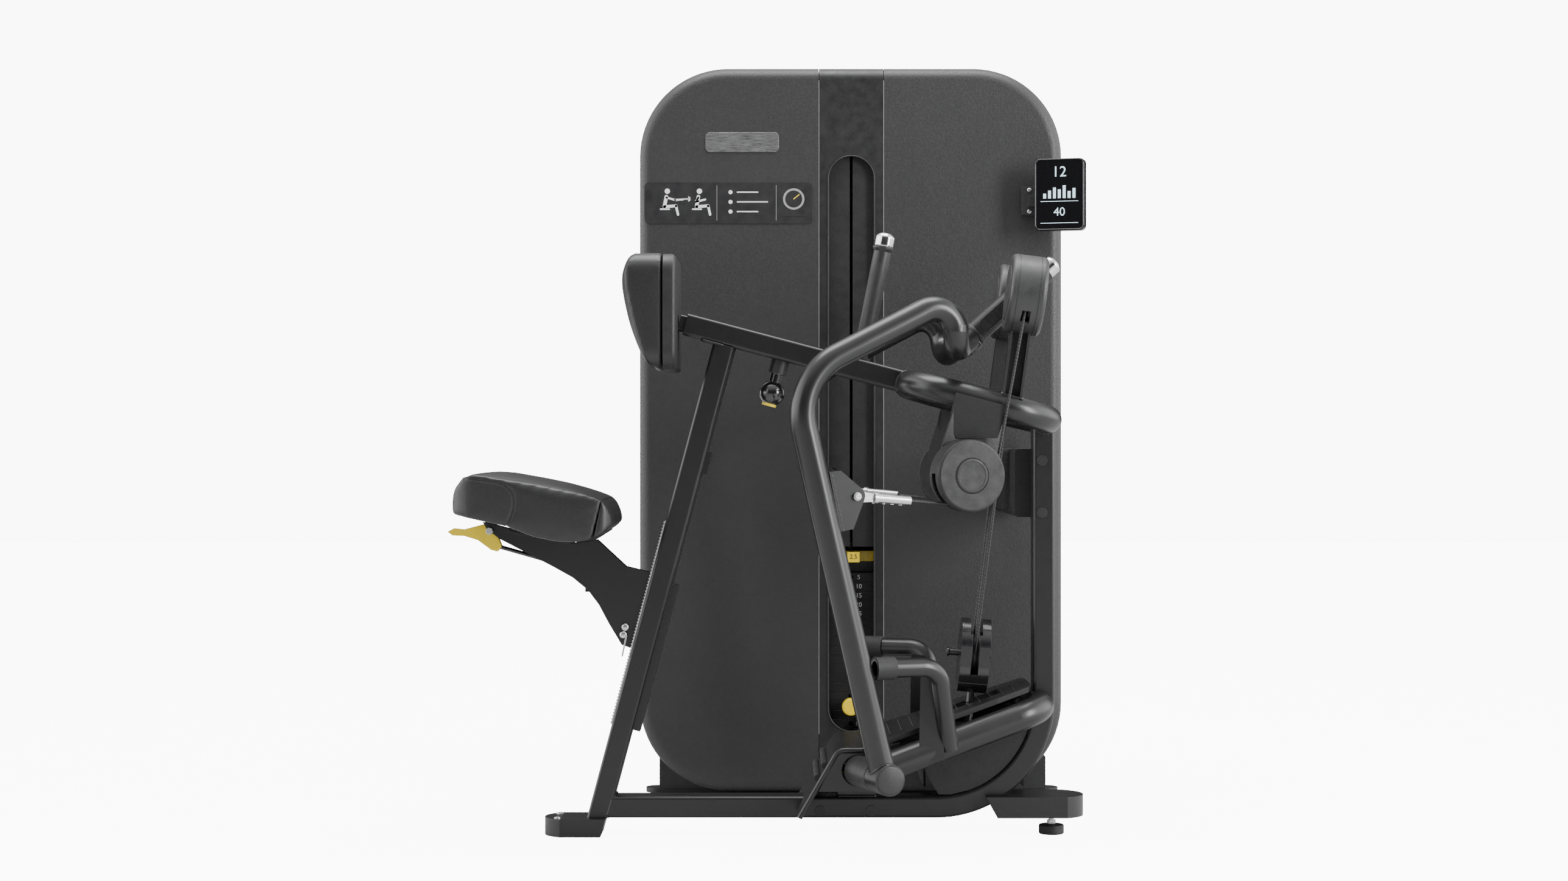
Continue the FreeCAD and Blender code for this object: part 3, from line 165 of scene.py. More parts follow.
def leather_grain(name, colour, rough=0.42, grain=330.0, depth=0.00022, edge=0.0):
    """Pebbled leather-like grain: cells with softened borders, broken up by finer noise."""
    g = Graph(name)
    wander = g.noise(60.0, 3.0)
    warp = g.add("ShaderNodeVectorMath", operation="MULTIPLY_ADD")
    g.link(wander, warp.inputs[0])
    warp.inputs[1].default_value = (0.006, 0.006, 0.006)
    g.link(g.place, warp.inputs[2])
    pebbles = g.cells(grain, "SMOOTH_F1", warp.outputs["Vector"])
    fine = g.noise(grain * 3.5, 3.0)
    height = g.plus(g.span(pebbles, 1.0, 0.0, 0.05, 0.75), fine, 0.35)
    cloud = g.noise(5.0, 4.0)
    patchy = g.span(g.plus(cloud, fine, 0.3), 0.0, 1.0, 0.45, 0.85)
    g.colour(g.mix(patchy, shade(colour, 0.9), shade(colour, 1.12)))
    g.roughness(g.span(height, rough + 0.1, rough - 0.06, 0.2, 1.1))
    g.bump(height, depth, edge)
    return g.material


def steel(name, colour, rough=0.25, along=(40.0, 40.0, 900.0), depth=0.00001, edge=0.0004):
    """Bare or plated metal with fine drawn lines."""
    g = Graph(name)
    lines = g.noise(1.0, 4.0, 0.6, g.stretched(along))
    g.colour(g.mix(g.span(g.noise(25.0, 3.0), 0.0, 1.0), shade(colour, 0.9), shade(colour, 1.08)))
    g.roughness(g.span(lines, rough - 0.07, rough + 0.09))
    g.bump(lines, depth, edge)
    g.set(Metallic=1.0)
    return g.material


def rubber(name, colour, rough=0.62):
    """Matt rubber with a dusty bloom."""
    g = Graph(name)
    dust = g.noise(120.0, 5.0)
    g.colour(g.mix(g.span(dust, 0.0, 1.0), shade(colour, 0.85), shade(colour, 1.25)))
    g.roughness(g.span(g.noise(30.0, 4.0), rough - 0.1, rough + 0.1))
    g.bump(dust, 0.00008, 0.0008)
    return g.material


def braided(name, colour):
    """Sheathed rope: a fine twisted weave under a satin skin."""
    g = Graph(name)
    wave = g.add("ShaderNodeTexWave", wave_type="BANDS", bands_direction="DIAGONAL")
    wave.inputs["Scale"].default_value = 90.0
    wave.inputs["Distortion"].default_value = 1.5
    g.link(g.place, wave.inputs["Vector"])
    g.colour(g.mix(wave.outputs["Fac"], shade(colour, 0.7), shade(colour, 1.6)))
    g.roughness(g.span(g.noise(200.0), 0.4, 0.6))
    g.bump(wave.outputs["Fac"], 0.0003)
    return g.material


def glossy_plastic(name, colour, rough=0.25, coat=0.3):
    """Polished plastic under a thin clear coat."""
    g = Graph(name)
    cloud = g.noise(30.0, 3.0)
    g.colour(g.mix(g.span(cloud, 0.0, 1.0), shade(colour, 0.93), shade(colour, 1.05)))
    g.roughness(g.span(g.noise(80.0, 4.0), rough - 0.06, rough + 0.06))
    g.bump(g.noise(300.0, 2.0), 0.00003, 0.0008)
    g.set(Coat_Weight=coat, Coat_Roughness=0.12)
    return g.material


def print_ink(name, colour, glow=0.0):
    """Screen-printed ink, glowing a little where it stands for a lit screen."""
    g = Graph(name)
    g.colour(g.mix(g.span(g.noise(160.0, 3.0), 0.0, 1.0), shade(colour, 0.94), shade(colour, 1.03)))
    g.roughness(g.span(g.noise(90.0), 0.35, 0.5))
    g.bump(g.noise(700.0, 2.0), 0.00001)
    if glow:
        g.set(Emission_Color=(*colour, 1.0), Emission_Strength=glow)
    return g.material


FRAME = paint("frame_paint", (0.0080, 0.0080, 0.0083), 0.34, spread=0.02)
TUBE = paint("tube_paint", (0.0080, 0.0080, 0.0083), 0.32, edge=0.0, spread=0.015)
ARM = paint("arm_finish", (0.0080, 0.0080, 0.0083), 0.30, edge=0.0, spread=0.015)
STRUCTURE = paint("structure_paint", (0.013, 0.013, 0.014), 0.45)
COVER = plastic("cover_plastic", (0.026, 0.0262, 0.027), 0.42)
# Painted shade: a darker copy of the cover plastic for the side covers, their lids, the pulley brackets and
# link covers.
SHADED_SIDE_COVER = plastic("side_cover_plastic_painted_shade", (0.0065, 0.0065, 0.007), 0.55)
TOWER = leather_grain("tower_grain", (0.0215, 0.0215, 0.0218), 0.46, 300.0, 0.00022)
STRIP = plastic("strip_plastic", (0.0095, 0.0095, 0.0098), 0.42, 500.0, 0.00004)
LEAF = plastic("leaf_plastic", (0.008, 0.008, 0.0085), 0.5, 300.0, 0.0001)
PLATE = paint("plate_paint", (0.008, 0.008, 0.009), 0.42)
RUBBER = rubber("black_rubber", (0.010, 0.010, 0.0105))
GRIP = rubber("grip_rubber", (0.012, 0.012, 0.0125), 0.5)
PLUG = plastic("plug_plastic", (0.010, 0.010, 0.010), 0.4)
SILVER = steel("brushed_steel", (0.62, 0.62, 0.63), 0.28)
CHROME = steel("chrome", (0.75, 0.75, 0.76), 0.12, (60.0, 60.0, 60.0), 0.000004)
YELLOW = glossy_plastic("yellow_plastic", (0.82, 0.60, 0.015), 0.3)
KNOB = glossy_plastic("knob_black", (0.007, 0.007, 0.008), 0.18, 0.6)
HOUSING = glossy_plastic("housing_black", (0.009, 0.009, 0.010), 0.24, 0.35)
ROPE = braided("rope_sheath", (0.012, 0.012, 0.012))
WHEEL = plastic("wheel_plastic", (0.020, 0.020, 0.021), 0.4)
HIDE = leather_grain("upholstery", (0.0120, 0.0120, 0.0123), 0.42, 520.0, 0.00014)
HIDE_SMOOTH = leather_grain("upholstery_smooth", (0.0125, 0.0125, 0.013), 0.38, 700.0, 0.00005)
# Near-black: stitching thread and print, and painted shade along the seat's seam and round the side-cover
# lids.
THREAD_AND_PAINTED_SHADE = rubber("seam_thread_and_painted_shade", (0.003, 0.003, 0.003), 0.7)
SHELL = plastic("pad_shell", (0.010, 0.010, 0.0105), 0.5)
GLASS = glossy_plastic("screen_glass", (0.004, 0.004, 0.005), 0.08, 1.0)
PLACARD = plastic("placard_sheet", (0.014, 0.014, 0.015), 0.4)
WHITE_INK = print_ink("white_ink", (0.80, 0.80, 0.80))
# Grey ink: printed dividers on the placard, and painted highlights along the centre strip's edges.
GREY_INK_AND_HIGHLIGHT = print_ink("grey_ink_and_highlight", (0.28, 0.28, 0.285))
YELLOW_INK = print_ink("yellow_ink", (0.85, 0.60, 0.02))
SCREEN_LIGHT = print_ink("screen_light", (0.55, 0.75, 0.85), 0.8)

LOOKS = (
    (FRAME, "base_tube seat_column upper_beam frame_feet foot_platform seat_carriage chest_slide_tube"),
    (TUBE, "upper_ring fork_tubes"),
    (STRUCTURE, "pivot_shafts tower_frame"),
    (ARM, "right_arm_tube left_arm_tube"),
    (RUBBER, "levelling_foot rubber_buffers"),
    (PLUG, "tube_plugs"),
    (SILVER, "seat_rack right_rope_fitting left_rope_fitting"),
    (GRIP, "fixed_grip right_handle left_handle"),
    # Side covers, brackets and link covers take the darker copy of the cover plastic: painted shade.
    (SHADED_SIDE_COVER, "pulley_brackets side_pulley_covers link_covers"),
    (COVER, "top_pulley_covers display_bracket"),
    (TOWER, "tower_left_cover tower_right_cover"),
    (STRIP, "tower_centre_panel"),
    (LEAF, "slot_leaves"),
    (CHROME, "guide_rods"),
    (PLATE, "resting_plates lifted_plates stack_stem"),
    (YELLOW, "selector_pin increment_weight seat_lever"),
    (ROPE, "stack_rope lift_ropes block_ropes right_row_rope left_row_rope"),
    (WHEEL, "tower_wheel tower_low_wheel base_wheel block_wheel right_side_wheel left_side_wheel"),
    (WHEEL, "right_top_wheel left_top_wheel"),
    (PLACARD, "tower_placards"),
    (HOUSING, "display_shell block_housing"),
    (GLASS, "display_glass"),
    (HIDE, "seat_cushion chest_pad"),
    (KNOB, "seat_pull_rod lock_knob"),
    (SHELL, "chest_backing"),
)
for look, names in LOOKS:
    for name in names.split():
        NODES[name].data.materials.clear()
        NODES[name].data.materials.append(look)


# ---------------------------------------------------------------- mesh helpers
def new_object(name, mesh, look):
    item = bpy.data.objects.new(name, mesh)
    bpy.context.scene.collection.objects.link(item)
    mesh.materials.append(look)
    return item


def smooth(item, angle=None):
    for polygon in item.data.polygons:
        polygon.use_smooth = True
    if angle:
        item.data.set_sharp_from_angle(angle=math.radians(angle))


def mesh_of(name, solids):
    """One mesh made of closed solids, its faces turned outwards."""
    verts, faces = [], []
    for part_verts, part_faces in solids:
        shift = len(verts)
        verts += [tuple(v) for v in part_verts]
        faces += [tuple(i + shift for i in face) for face in part_faces]
    mesh = bpy.data.meshes.new(name)
    mesh.from_pydata(verts, [], faces)
    work = bmesh.new()
    work.from_mesh(mesh)
    bmesh.ops.recalc_face_normals(work, faces=work.faces)
    work.to_mesh(mesh)
    work.free()
    return mesh


def attach(item, body, node=None):
    """Puts a piece on its body in place of a CAD node; a piece given two bodies is only baked where it lies.
    """
    if node:
        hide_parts(node)
    if isinstance(body, str):
        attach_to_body(item, body)
    else:
        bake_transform(item)


def prism(points, axis, low, high):
    """Mesh of a flat outline pushed along one axis; its two numbers fill the other two axes in order."""
    def place(pair, along):
        spot = list(pair)
        spot.insert(axis, along)
        return spot
    count = len(points)
    verts = [place(p, low) for p in points] + [place(p, high) for p in points]
    faces = [tuple(range(count)), tuple(range(2 * count - 1, count - 1, -1))]
    faces += [(i, i + count, (i + 1) % count + count, (i + 1) % count) for i in range(count)]
    return mesh_of("prism", [(verts, faces)])


def rounded_rectangle(a_low, a_high, b_low, b_high, radius, steps=8):
    points = []
    corners = ((a_high, b_high, 0), (a_low, b_high, 90), (a_low, b_low, 180), (a_high, b_low, 270))
    for a, b, turn in corners:
        ca = a - radius if a == a_high else a + radius
        cb = b - radius if b == b_high else b + radius
        for step in range(steps + 1):
            angle = math.radians(turn + 90.0 * step / steps)
            points.append((ca + radius * math.cos(angle), cb + radius * math.sin(angle)))
    return points


def apply_modifiers(item):
    graph = bpy.context.evaluated_depsgraph_get()
    mesh = bpy.data.meshes.new_from_object(item.evaluated_get(graph))
    item.modifiers.clear()
    item.data = mesh


def foam_block(name, side_outline, other_outline, other_axis, look, voxel, rounds):
    """Foam core: a side outline across the machine, cut by a second outline, remeshed evenly and softened."""
    item = new_object(name, prism(side_outline, 1, -0.3, 0.3), look)
    cutter = new_object(name + "_plan", prism(other_outline, other_axis, -0.5, 1.5), look)
    crop = item.modifiers.new("crop", "BOOLEAN")
    crop.operation = "INTERSECT"
    crop.solver = "EXACT"
    crop.object = cutter
    even = item.modifiers.new("even", "REMESH")
    even.mode = "VOXEL"
    even.voxel_size = voxel
    soft = item.modifiers.new("soft", "SMOOTH")
    soft.factor = 0.5
    soft.iterations = rounds
    apply_modifiers(item)
    bpy.data.objects.remove(cutter)
    return item


def swell(item, pressure, held, limit, frames=20):
    """Cloth skin under inner pressure with gravity off; held(point, normal) says which points stay put."""
    rest = [v.co.copy() for v in item.data.vertices]
    group = item.vertex_groups.new(name="held")
    for vertex in item.data.vertices:
        weight = held(vertex.co, vertex.normal)
        if weight > 0.0:
            group.add([vertex.index], weight, "REPLACE")
    cloth = item.modifiers.new("cloth", "CLOTH")
    settings = cloth.settings
    settings.quality = 6
    settings.mass = 0.25
    settings.tension_stiffness = 18.0
    settings.compression_stiffness = 12.0
    settings.shear_stiffness = 8.0
    settings.bending_stiffness = 1.2
    settings.use_pressure = True
    settings.uniform_pressure_force = pressure
    settings.effector_weights.gravity = 0.0
    settings.vertex_group_mass = "held"
    cloth.collision_settings.use_collision = False
    cloth.point_cache.frame_start = 1
    cloth.point_cache.frame_end = frames
    scene = bpy.context.scene
    for frame_number in range(1, frames + 1):
        scene.frame_set(frame_number)
    graph = bpy.context.evaluated_depsgraph_get()
    moved = [v.co.copy() for v in item.evaluated_get(graph).data.vertices]
    item.modifiers.remove(cloth)
    scene.frame_set(1)
    for vertex, old, new in zip(item.data.vertices, rest, moved):
        step = new - old
        vertex.co = old + step * min(1.0, limit / max(step.length, 1e-9))
    item.data.update()


def subdivide(item):
    finer = item.modifiers.new("finer", "SUBSURF")
    finer.levels = 1
    finer.render_levels = 1
    apply_modifiers(item)


def distance_to_line(a, b, line):
    """Shortest distance from the flat point (a, b) to a polyline, and which side of it the point is on."""
    best, side = 1e9, 1.0
    for (a0, b0), (a1, b1) in zip(line, line[1:]):
        da, db = a1 - a0, b1 - b0
        share = max(0.0, min(1.0, ((a - a0) * da + (b - b0) * db) / (da * da + db * db)))
        ea, eb = a - a0 - da * share, b - b0 - db * share
        reach = math.hypot(ea, eb)
        if reach < best:
            best = reach
            side = 1.0 if da * eb - db * ea > 0 else -1.0
    return best, side


def groove(item, gap, depth, width):
    """Presses a narrow valley into the skin where gap(point) is near zero."""
    normals = [v.normal.copy() for v in item.data.vertices]
    for vertex, normal in zip(item.data.vertices, normals):
        near = gap(vertex.co)
        if near < 3 * width:
            vertex.co -= normal * depth * math.exp(-((near / width) ** 2))
    item.data.update()


def skin_tree(item):
    mesh = item.data
    return BVHTree.FromPolygons([v.co for v in mesh.vertices], [tuple(p.vertices) for p in mesh.polygons])


def resampled(points, step):
    """Evenly spaced points along a polyline of vectors."""
    out = [points[0]]
    left = step
    for start, end in zip(points, points[1:]):
        reach = (end - start).length
        done = 0.0
        while reach - done >= left:
            done += left
            out.append(start.lerp(end, done / reach))
            left = step
        left -= reach - done
    return out


def eased(points, rounds):
    """Softens a polyline of flat points, ends kept."""
    for _ in range(rounds):
        softer = [points[0]]
        for first, second in zip(points, points[1:]):
            softer.append((first[0] * 0.75 + second[0] * 0.25, first[1] * 0.75 + second[1] * 0.25))
            softer.append((first[0] * 0.25 + second[0] * 0.75, first[1] * 0.25 + second[1] * 0.75))
        points = softer + [points[-1]]
    return points


def metres(points):
    return [(a / 1000.0, b / 1000.0) for a, b in points]


# ---------------------------------------------------------------- seat cushion
SEAT_SIDE = metres([(-214, 601), (-215, 618), (-207, 646), (-190, 667), (-168, 674), (-60, 656), (30, 637),
                    (61, 627), (43, 555), (10, 550), (-24, 552), (-62, 560), (-112, 579)])
SEAT_NOSE = metres([(60, 627), (70, 614), (77, 598), (80, 582), (68, 570), (45, 556)])
SEAT_REAR_SEAM = metres([(-192, 700), (-192, 673), (-186, 666), (-150, 662), (-118, 657), (-102, 645),
                         (-96, 628), (-98, 608), (-104, 592), (-112, 575)])
SEAT_HALF = 0.173


SEAT_TOP = 0.60
CLOTH_PRESSURE = 4.0


def seat_cushion():
    """Seat foam under its cover: crowned, dished, puffed out and stitched behind, with a front panel."""
    plan = rounded_rectangle(-0.213, 0.14, -SEAT_HALF, SEAT_HALF, 0.046)
    seam = eased(SEAT_REAR_SEAM, 2)
    cushion = foam_block("seat_cushion_skin", SEAT_SIDE, plan, 2, HIDE, 0.005, 4)
    for vertex in cushion.data.vertices:
        x, y, z = vertex.co
        share = max(0.0, 1.0 - (y / SEAT_HALF) ** 2)
        if z > SEAT_TOP:
            lift = (z - SEAT_TOP) / 0.07
            vertex.co.z += 0.004 * share * lift
            dip = math.exp(-((x + 0.06) / 0.06) ** 2) * math.exp(-((y / 0.11) ** 2))
            vertex.co.z -= 0.003 * dip * lift

    def held(point, normal):
        if normal.z < -0.5 or normal.x > 0.7:
            return 1.0
        return 1.0 if distance_to_line(point.x, point.z, seam)[0] < 0.003 else 0.0

    swell(cushion, CLOTH_PRESSURE, held, 0.005)
    subdivide(cushion)
    groove(cushion, lambda p: distance_to_line(p.x, p.z, seam)[0], 0.0016, 0.0026)
    cushion.data.materials.append(HIDE_SMOOTH)
    for polygon in cushion.data.polygons:
        side = distance_to_line(polygon.center.x, polygon.center.z, seam)[1]
        polygon.material_index = 1 if side > 0 else 0
    smooth(cushion)
    attach(cushion, "seat", "seat_cushion")

    nose_plan = rounded_rectangle(-0.03, 0.083, -SEAT_HALF + 0.002, SEAT_HALF - 0.002, 0.032)
    nose = foam_block("seat_nose_skin", SEAT_NOSE, nose_plan, 2, HIDE_SMOOTH, 0.004, 2)
    swell(nose, 0.75 * CLOTH_PRESSURE, lambda p, n: 1.0 if n.x < -0.3 or n.z < -0.6 else 0.0, 0.003)
    subdivide(nose)
    smooth(nose)
    attach(nose, "seat")

    skin = skin_tree(cushion)
    thread_path = []
    side_points = [Vector((x, 0.0, z)) for x, z in seam if z < 0.668]
    for spot in resampled(side_points, 0.004)[::-1]:
        hit = skin.ray_cast(Vector((spot.x, -0.4, spot.z)), Vector((0, 1, 0)))[0]
        if hit:
            thread_path.append(hit)
    far_path = [Vector((p.x, -p.y, p.z)) for p in thread_path[::-1]]
    top = []
    start = thread_path[-1].y
    for i in range(1, 60):
        y = start * (1 - 2 * i / 60)
        hit = skin.ray_cast(Vector((-0.1905, y, 0.8)), Vector((0, 0, -1)))[0]
        if hit and hit.z > 0.655:
            top.append(hit)
    # The seam cord is real; its near-black colour, darker than the hide, is painted shade along the seam.
    shaded_seam_cord = solid_cord(thread_path + top + far_path, 0.9, 8)
    piece("seat_seam", THREAD_AND_PAINTED_SHADE, "seat", [shaded_seam_cord], 50)


# ---------------------------------------------------------------- chest pad
PAD_EDGE = metres([(120, 1075), (106, 1064), (101, 1040), (102, 1020), (108, 988), (116, 952), (127, 913),
                   (136, 885), (141, 873), (152, 866)])
PAD_HALF = 0.147
PAD_CORNER = 0.036
PAD_LOW, PAD_HIGH = 0.8640, 1.0770


def chest_pad():
    """Chest foam under its cover, fuller towards the chest, with a piped edge down each side."""
    side = PAD_EDGE + metres([(169.5, 865), (169.5, 1076)])
    front = rounded_rectangle(-PAD_HALF, PAD_HALF, PAD_LOW, PAD_HIGH, PAD_CORNER)
    pad = foam_block("chest_pad_skin", side, front, 0, HIDE_SMOOTH, 0.005, 4)
    for vertex in pad.data.vertices:
        x, y, z = vertex.co
        edge_x = pad_edge_x(z)
        depth = (0.168 - x) / max(0.168 - edge_x, 0.01)
        if depth > 0.0:
            across = max(0.0, 1.0 - abs(y / PAD_HALF) ** 2.4)
            along = max(0.0, 1.0 - abs((z - 0.985) / 0.108) ** 2.6)
            vertex.co.x -= 0.0125 * across * along * min(1.0, depth) ** 1.5

    def held(point, normal):
        if normal.x > 0.5 or point.x > 0.165:
            return 1.0
        border = abs(abs(point.y) - PAD_HALF) < 0.009 and normal.x < -0.25
        return 0.9 if border else 0.0

    swell(pad, CLOTH_PRESSURE, held, 0.005)
    subdivide(pad)
    smooth(pad)
    attach(pad, "chest_rest", "chest_pad")

    skin = skin_tree(pad)
    edge = [Vector((x, 0.0, z)) for x, z in eased(PAD_EDGE, 2)]
    for side_sign, side_name in ((-1, "right"), (1, "left")):
        path = []
        for spot in resampled(edge, 0.004):
            y = side_sign * pad_side_y(spot.z)
            source = Vector((spot.x - 0.05, y + side_sign * 0.05, spot.z))
            hit = skin.ray_cast(source, Vector((1, -side_sign, 0)).normalized())[0]
            if hit:
                path.append(hit)
        welt = solid_cord(path, 1.3, 8)
        piece("chest_welt_" + side_name, HIDE_SMOOTH, "chest_rest", [welt], 50)


def pad_edge_x(z):
    """Where the pad's front face lies at a height."""
    points = PAD_EDGE[::-1]
    if z <= points[0][1]:
        return points[0][0]
    for (x0, z0), (x1, z1) in zip(points, points[1:]):
        if z0 <= z <= z1:
            return x0 + (x1 - x0) * (z - z0) / (z1 - z0)
    return points[-1][0]


def pad_side_y(z):
    """Half width of the pad at a height; its four corners are rounded."""
    inset = 0.0
    for centre in (0.901, 1.036):
        over = (z - centre) if centre > 1.0 else (centre - z)
        if over > 0:
            inset = PAD_CORNER - math.sqrt(max(0.0, PAD_CORNER ** 2 - min(over, PAD_CORNER) ** 2))
    return PAD_HALF - inset


# ---------------------------------------------------------------- solid pieces, in millimetres
def mm(x, y, z):
    return Vector((x, y, z)) / 1000.0


def slanted(angle):
    """Unit vector in the XZ plane, the angle in degrees from +X towards +Z."""
    return Vector((math.cos(math.radians(angle)), 0.0, math.sin(math.radians(angle))))


def solid_plate(outline, origin, right, up, low, high):
    """Flat outline in a plane, thickened along right x up; the outline and heights are in millimetres."""
    out = right.cross(up).normalized()
    verts = []
    for height in (low, high):
        verts += [origin + (right * a + up * b + out * height) / 1000.0 for a, b in outline]
    count = len(outline)
    faces = [tuple(range(count - 1, -1, -1)), tuple(range(count, 2 * count))]
    faces += [(i, (i + 1) % count, (i + 1) % count + count, i + count) for i in range(count)]
    return verts, faces


def solid_turned(start, axis, profile, sides=36):
    """Turned solid: (along, radius) pairs in millimetres from one end to the other."""
    axis = axis.normalized()
    across = axis.orthogonal().normalized()
    other = axis.cross(across)
    verts, faces = [], []
    for along, radius in profile:
        for s in range(sides):
            angle = 2 * math.pi * s / sides
            out = (across * math.cos(angle) + other * math.sin(angle)) * max(radius, 0.02)
            verts.append(start + (axis * along + out) / 1000.0)
    for ring in range(len(profile) - 1):
        for s in range(sides):
            a, b = ring * sides + s, ring * sides + (s + 1) % sides
            faces.append((a, b, b + sides, a + sides))
    faces.append(tuple(range(sides - 1, -1, -1)))
    faces.append(tuple(range((len(profile) - 1) * sides, len(profile) * sides)))
    return verts, faces


def solid_ring(centre, axis, profile, sides=48):
    """Closed ring: an (along, radius) loop in millimetres swept round the axis."""
    verts, faces = solid_turned(centre, axis, profile + profile[:1], sides)
    keep = len(profile) * sides
    faces = [tuple(i % keep for i in face) for face in faces[:-2]]
    return verts[:keep], faces


def solid_cord(path, radius, sides=10, closed=False, ripple=0.0, lobes=0, twist=0.0):
    """Cord through points in metres: rippled like a weld bead, or lobed and twisted like a laid rope."""
    verts, faces = [], []
    count = len(path)
    up = None
    run = 0.0
    for i, spot in enumerate(path):
        before = path[i - 1] if (i > 0 or closed) else path[i]
        after = path[(i + 1) % count] if (i < count - 1 or closed) else path[i]
        ahead = (after - before).normalized()
        up = ahead.orthogonal() if up is None else up
        up = (up - ahead * up.dot(ahead)).normalized()
        other = ahead.cross(up)
        run += (spot - path[i - 1]).length if i else 0.0
        grow = radius * (1.0 + ripple * math.sin(i * 1.9)) / 1000.0
        for s in range(sides):
            angle = 2 * math.pi * s / sides
            swell_out = 1.0 + (0.09 * math.cos(lobes * (angle - twist * run)) if lobes else 0.0)
            verts.append(spot + (up * math.cos(angle) + other * math.sin(angle)) * grow * swell_out)
    for i in range(count if closed else count - 1):
        for s in range(sides):
            a, b = i * sides + s, i * sides + (s + 1) % sides
            c, d = ((i + 1) % count) * sides + (s + 1) % sides, ((i + 1) % count) * sides + s
            faces.append((a, b, c, d))
    if not closed:
        faces.append(tuple(range(sides - 1, -1, -1)))
        faces.append(tuple(range((count - 1) * sides, count * sides)))
    return verts, faces


def piece(name, look, body, solids, crease=35, node=None):
    """One named object made of closed solids, riding on a body."""
    item = new_object(name, mesh_of(name, solids), look)
    smooth(item, crease)
    attach(item, body, node)
    return item


def mirror(point, sign):
    """The right side's point, or its twin on the left side."""
    return Vector((point.x, point.y * sign, point.z))


def oblong(length, width, steps=8):
    """Outline of a round-ended bar lying along the first axis, centred on zero."""
    r = width / 2
    reach = length / 2 - r
    ends = []
    for centre, start in ((reach, -90), (-reach, 90)):
        for k in range(steps + 1):
            angle = math.radians(start + 180.0 * k / steps)
            ends.append((centre + r * math.cos(angle), r * math.sin(angle)))
    return ends


def stroke(a0, b0, a1, b1, width):
    """Round-ended bar between two flat points."""
    length = math.hypot(a1 - a0, b1 - b0)
    turn = math.atan2(b1 - b0, a1 - a0)
    c, s = math.cos(turn), math.sin(turn)
    mid_a, mid_b = (a0 + a1) / 2, (b0 + b1) / 2
    return [(mid_a + p * c - q * s, mid_b + p * s + q * c) for p, q in oblong(length + width, width, 5)]


def turns(count):
    return [2 * math.pi * k / count for k in range(count)]


def disc(a, b, radius, sides=28):
    return [(a + radius * math.cos(t), b + radius * math.sin(t)) for t in turns(sides)]


def digits(name, text, height, origin, right, up, look, body):
    """Plain figures standing 0.2 mm proud of a surface."""
    curve = bpy.data.curves.new(name, "FONT")
    curve.body = text
    curve.size = height / 1000.0
    curve.align_x = "CENTER"
    curve.align_y = "CENTER"
    curve.extrude = 0.0002
    drawn = bpy.data.objects.new(name + "_curve", curve)
    bpy.context.scene.collection.objects.link(drawn)
    graph = bpy.context.evaluated_depsgraph_get()
    mesh = bpy.data.meshes.new_from_object(drawn.evaluated_get(graph))
    bpy.data.objects.remove(drawn)
    out = right.cross(up).normalized()
    turn = Matrix((right, up, out)).transposed().to_4x4()
    mesh.transform(Matrix.Translation(origin) @ turn)
    mesh.materials.clear()
    attach(new_object(name, mesh, look), body)


# ---------------------------------------------------------------- where things are
TOE = math.radians(20.0)
ARM_U = Vector((math.cos(TOE), math.sin(TOE), 0.0))
ARM_N = Vector((math.sin(TOE), -math.cos(TOE), 0.0))
UP = Vector((0.0, 0.0, 1.0))
ACROSS = Vector((0.0, 1.0, 0.0))
AHEAD = Vector((1.0, 0.0, 0.0))
SIDES = (("right", 1.0), ("left", -1.0))
BEAM_SLOPE = 14.8
BEAM_DIR = slanted(-BEAM_SLOPE)
BEAM_UP = slanted(90.0 - BEAM_SLOPE)
TOP_AXIS = slanted(-7.5)
BLOCK_AXIS = slanted(-4.6)
BLOCK_UP = slanted(85.4)
BLOCK_AT = mm(744, 0, 336)
TOP_AT = mm(828, -141, 998)
ARM_FOOT = mm(567, -252, 0)
HUB_Z = 134.5
ELBOW = (-170.2, 842.1)
ROPE_PIN = (-55.8, 635.2)
SIDE_WHEEL = (160.4, 671.0)
ROPE_TURN_R = 53.0
FITTING_REACH = 0.084
STRAND_OFF = 58.4
FIXED_GRIP_LEAN = 11.2
RING_Z = 838.4
GRIP_FOOT = mm(731, -38, 920)
GRIP_AXIS = Vector((0.746, 0.0, 0.666)).normalized()


def in_arm(s, z, n=0.0):
    """Point in the plane the right arm swings in: outwards along it, up, and out of it."""
    flat = ARM_FOOT + (ARM_U * s + ARM_N * n) / 1000.0
    return Vector((flat.x, flat.y, z / 1000.0))


def on_beam(t, up=0.0, y=0.0):
    """Point along the sloping beam, measured from its chest end."""
    return mm(207, y, 950.7) + (BEAM_DIR * t + BEAM_UP * up) / 1000.0


def block_at(up, y=0.0, along=0.0):
    """Point measured from the middle of the floating block."""
    return BLOCK_AT + (BLOCK_UP * up + ACROSS * y + BLOCK_AXIS * along) / 1000.0


def rope_line():
    """The row rope's tangent point on the side pulley, its direction to the arm's pin, and the pin."""
    ds, dz = ROPE_PIN[0] - SIDE_WHEEL[0], ROPE_PIN[1] - SIDE_WHEEL[1]
    reach = math.hypot(ds, dz)
    angle = math.atan2(dz, ds) - math.asin(ROPE_TURN_R / reach)
    unit = ARM_U * math.cos(angle) + UP * math.sin(angle)
    pin = in_arm(*ROPE_PIN)
    return pin - unit * math.sqrt(reach ** 2 - ROPE_TURN_R ** 2) / 1000.0, unit, pin


# ---------------------------------------------------------------- colours that change along one CAD piece
def recolour(node, look, test):
    """Second look for the faces of a CAD piece whose centre, in millimetres, passes the test."""
    mesh = NODES[node].data
    mesh.materials.append(look)
    index = len(mesh.materials) - 1
    for polygon in mesh.polygons:
        centre = Vector((0.0, 0.0, 0.0))
        for i in polygon.vertices:
            centre += mesh.vertices[i].co
        if test(centre / len(polygon.vertices) * 1000.0):
            polygon.material_index = index


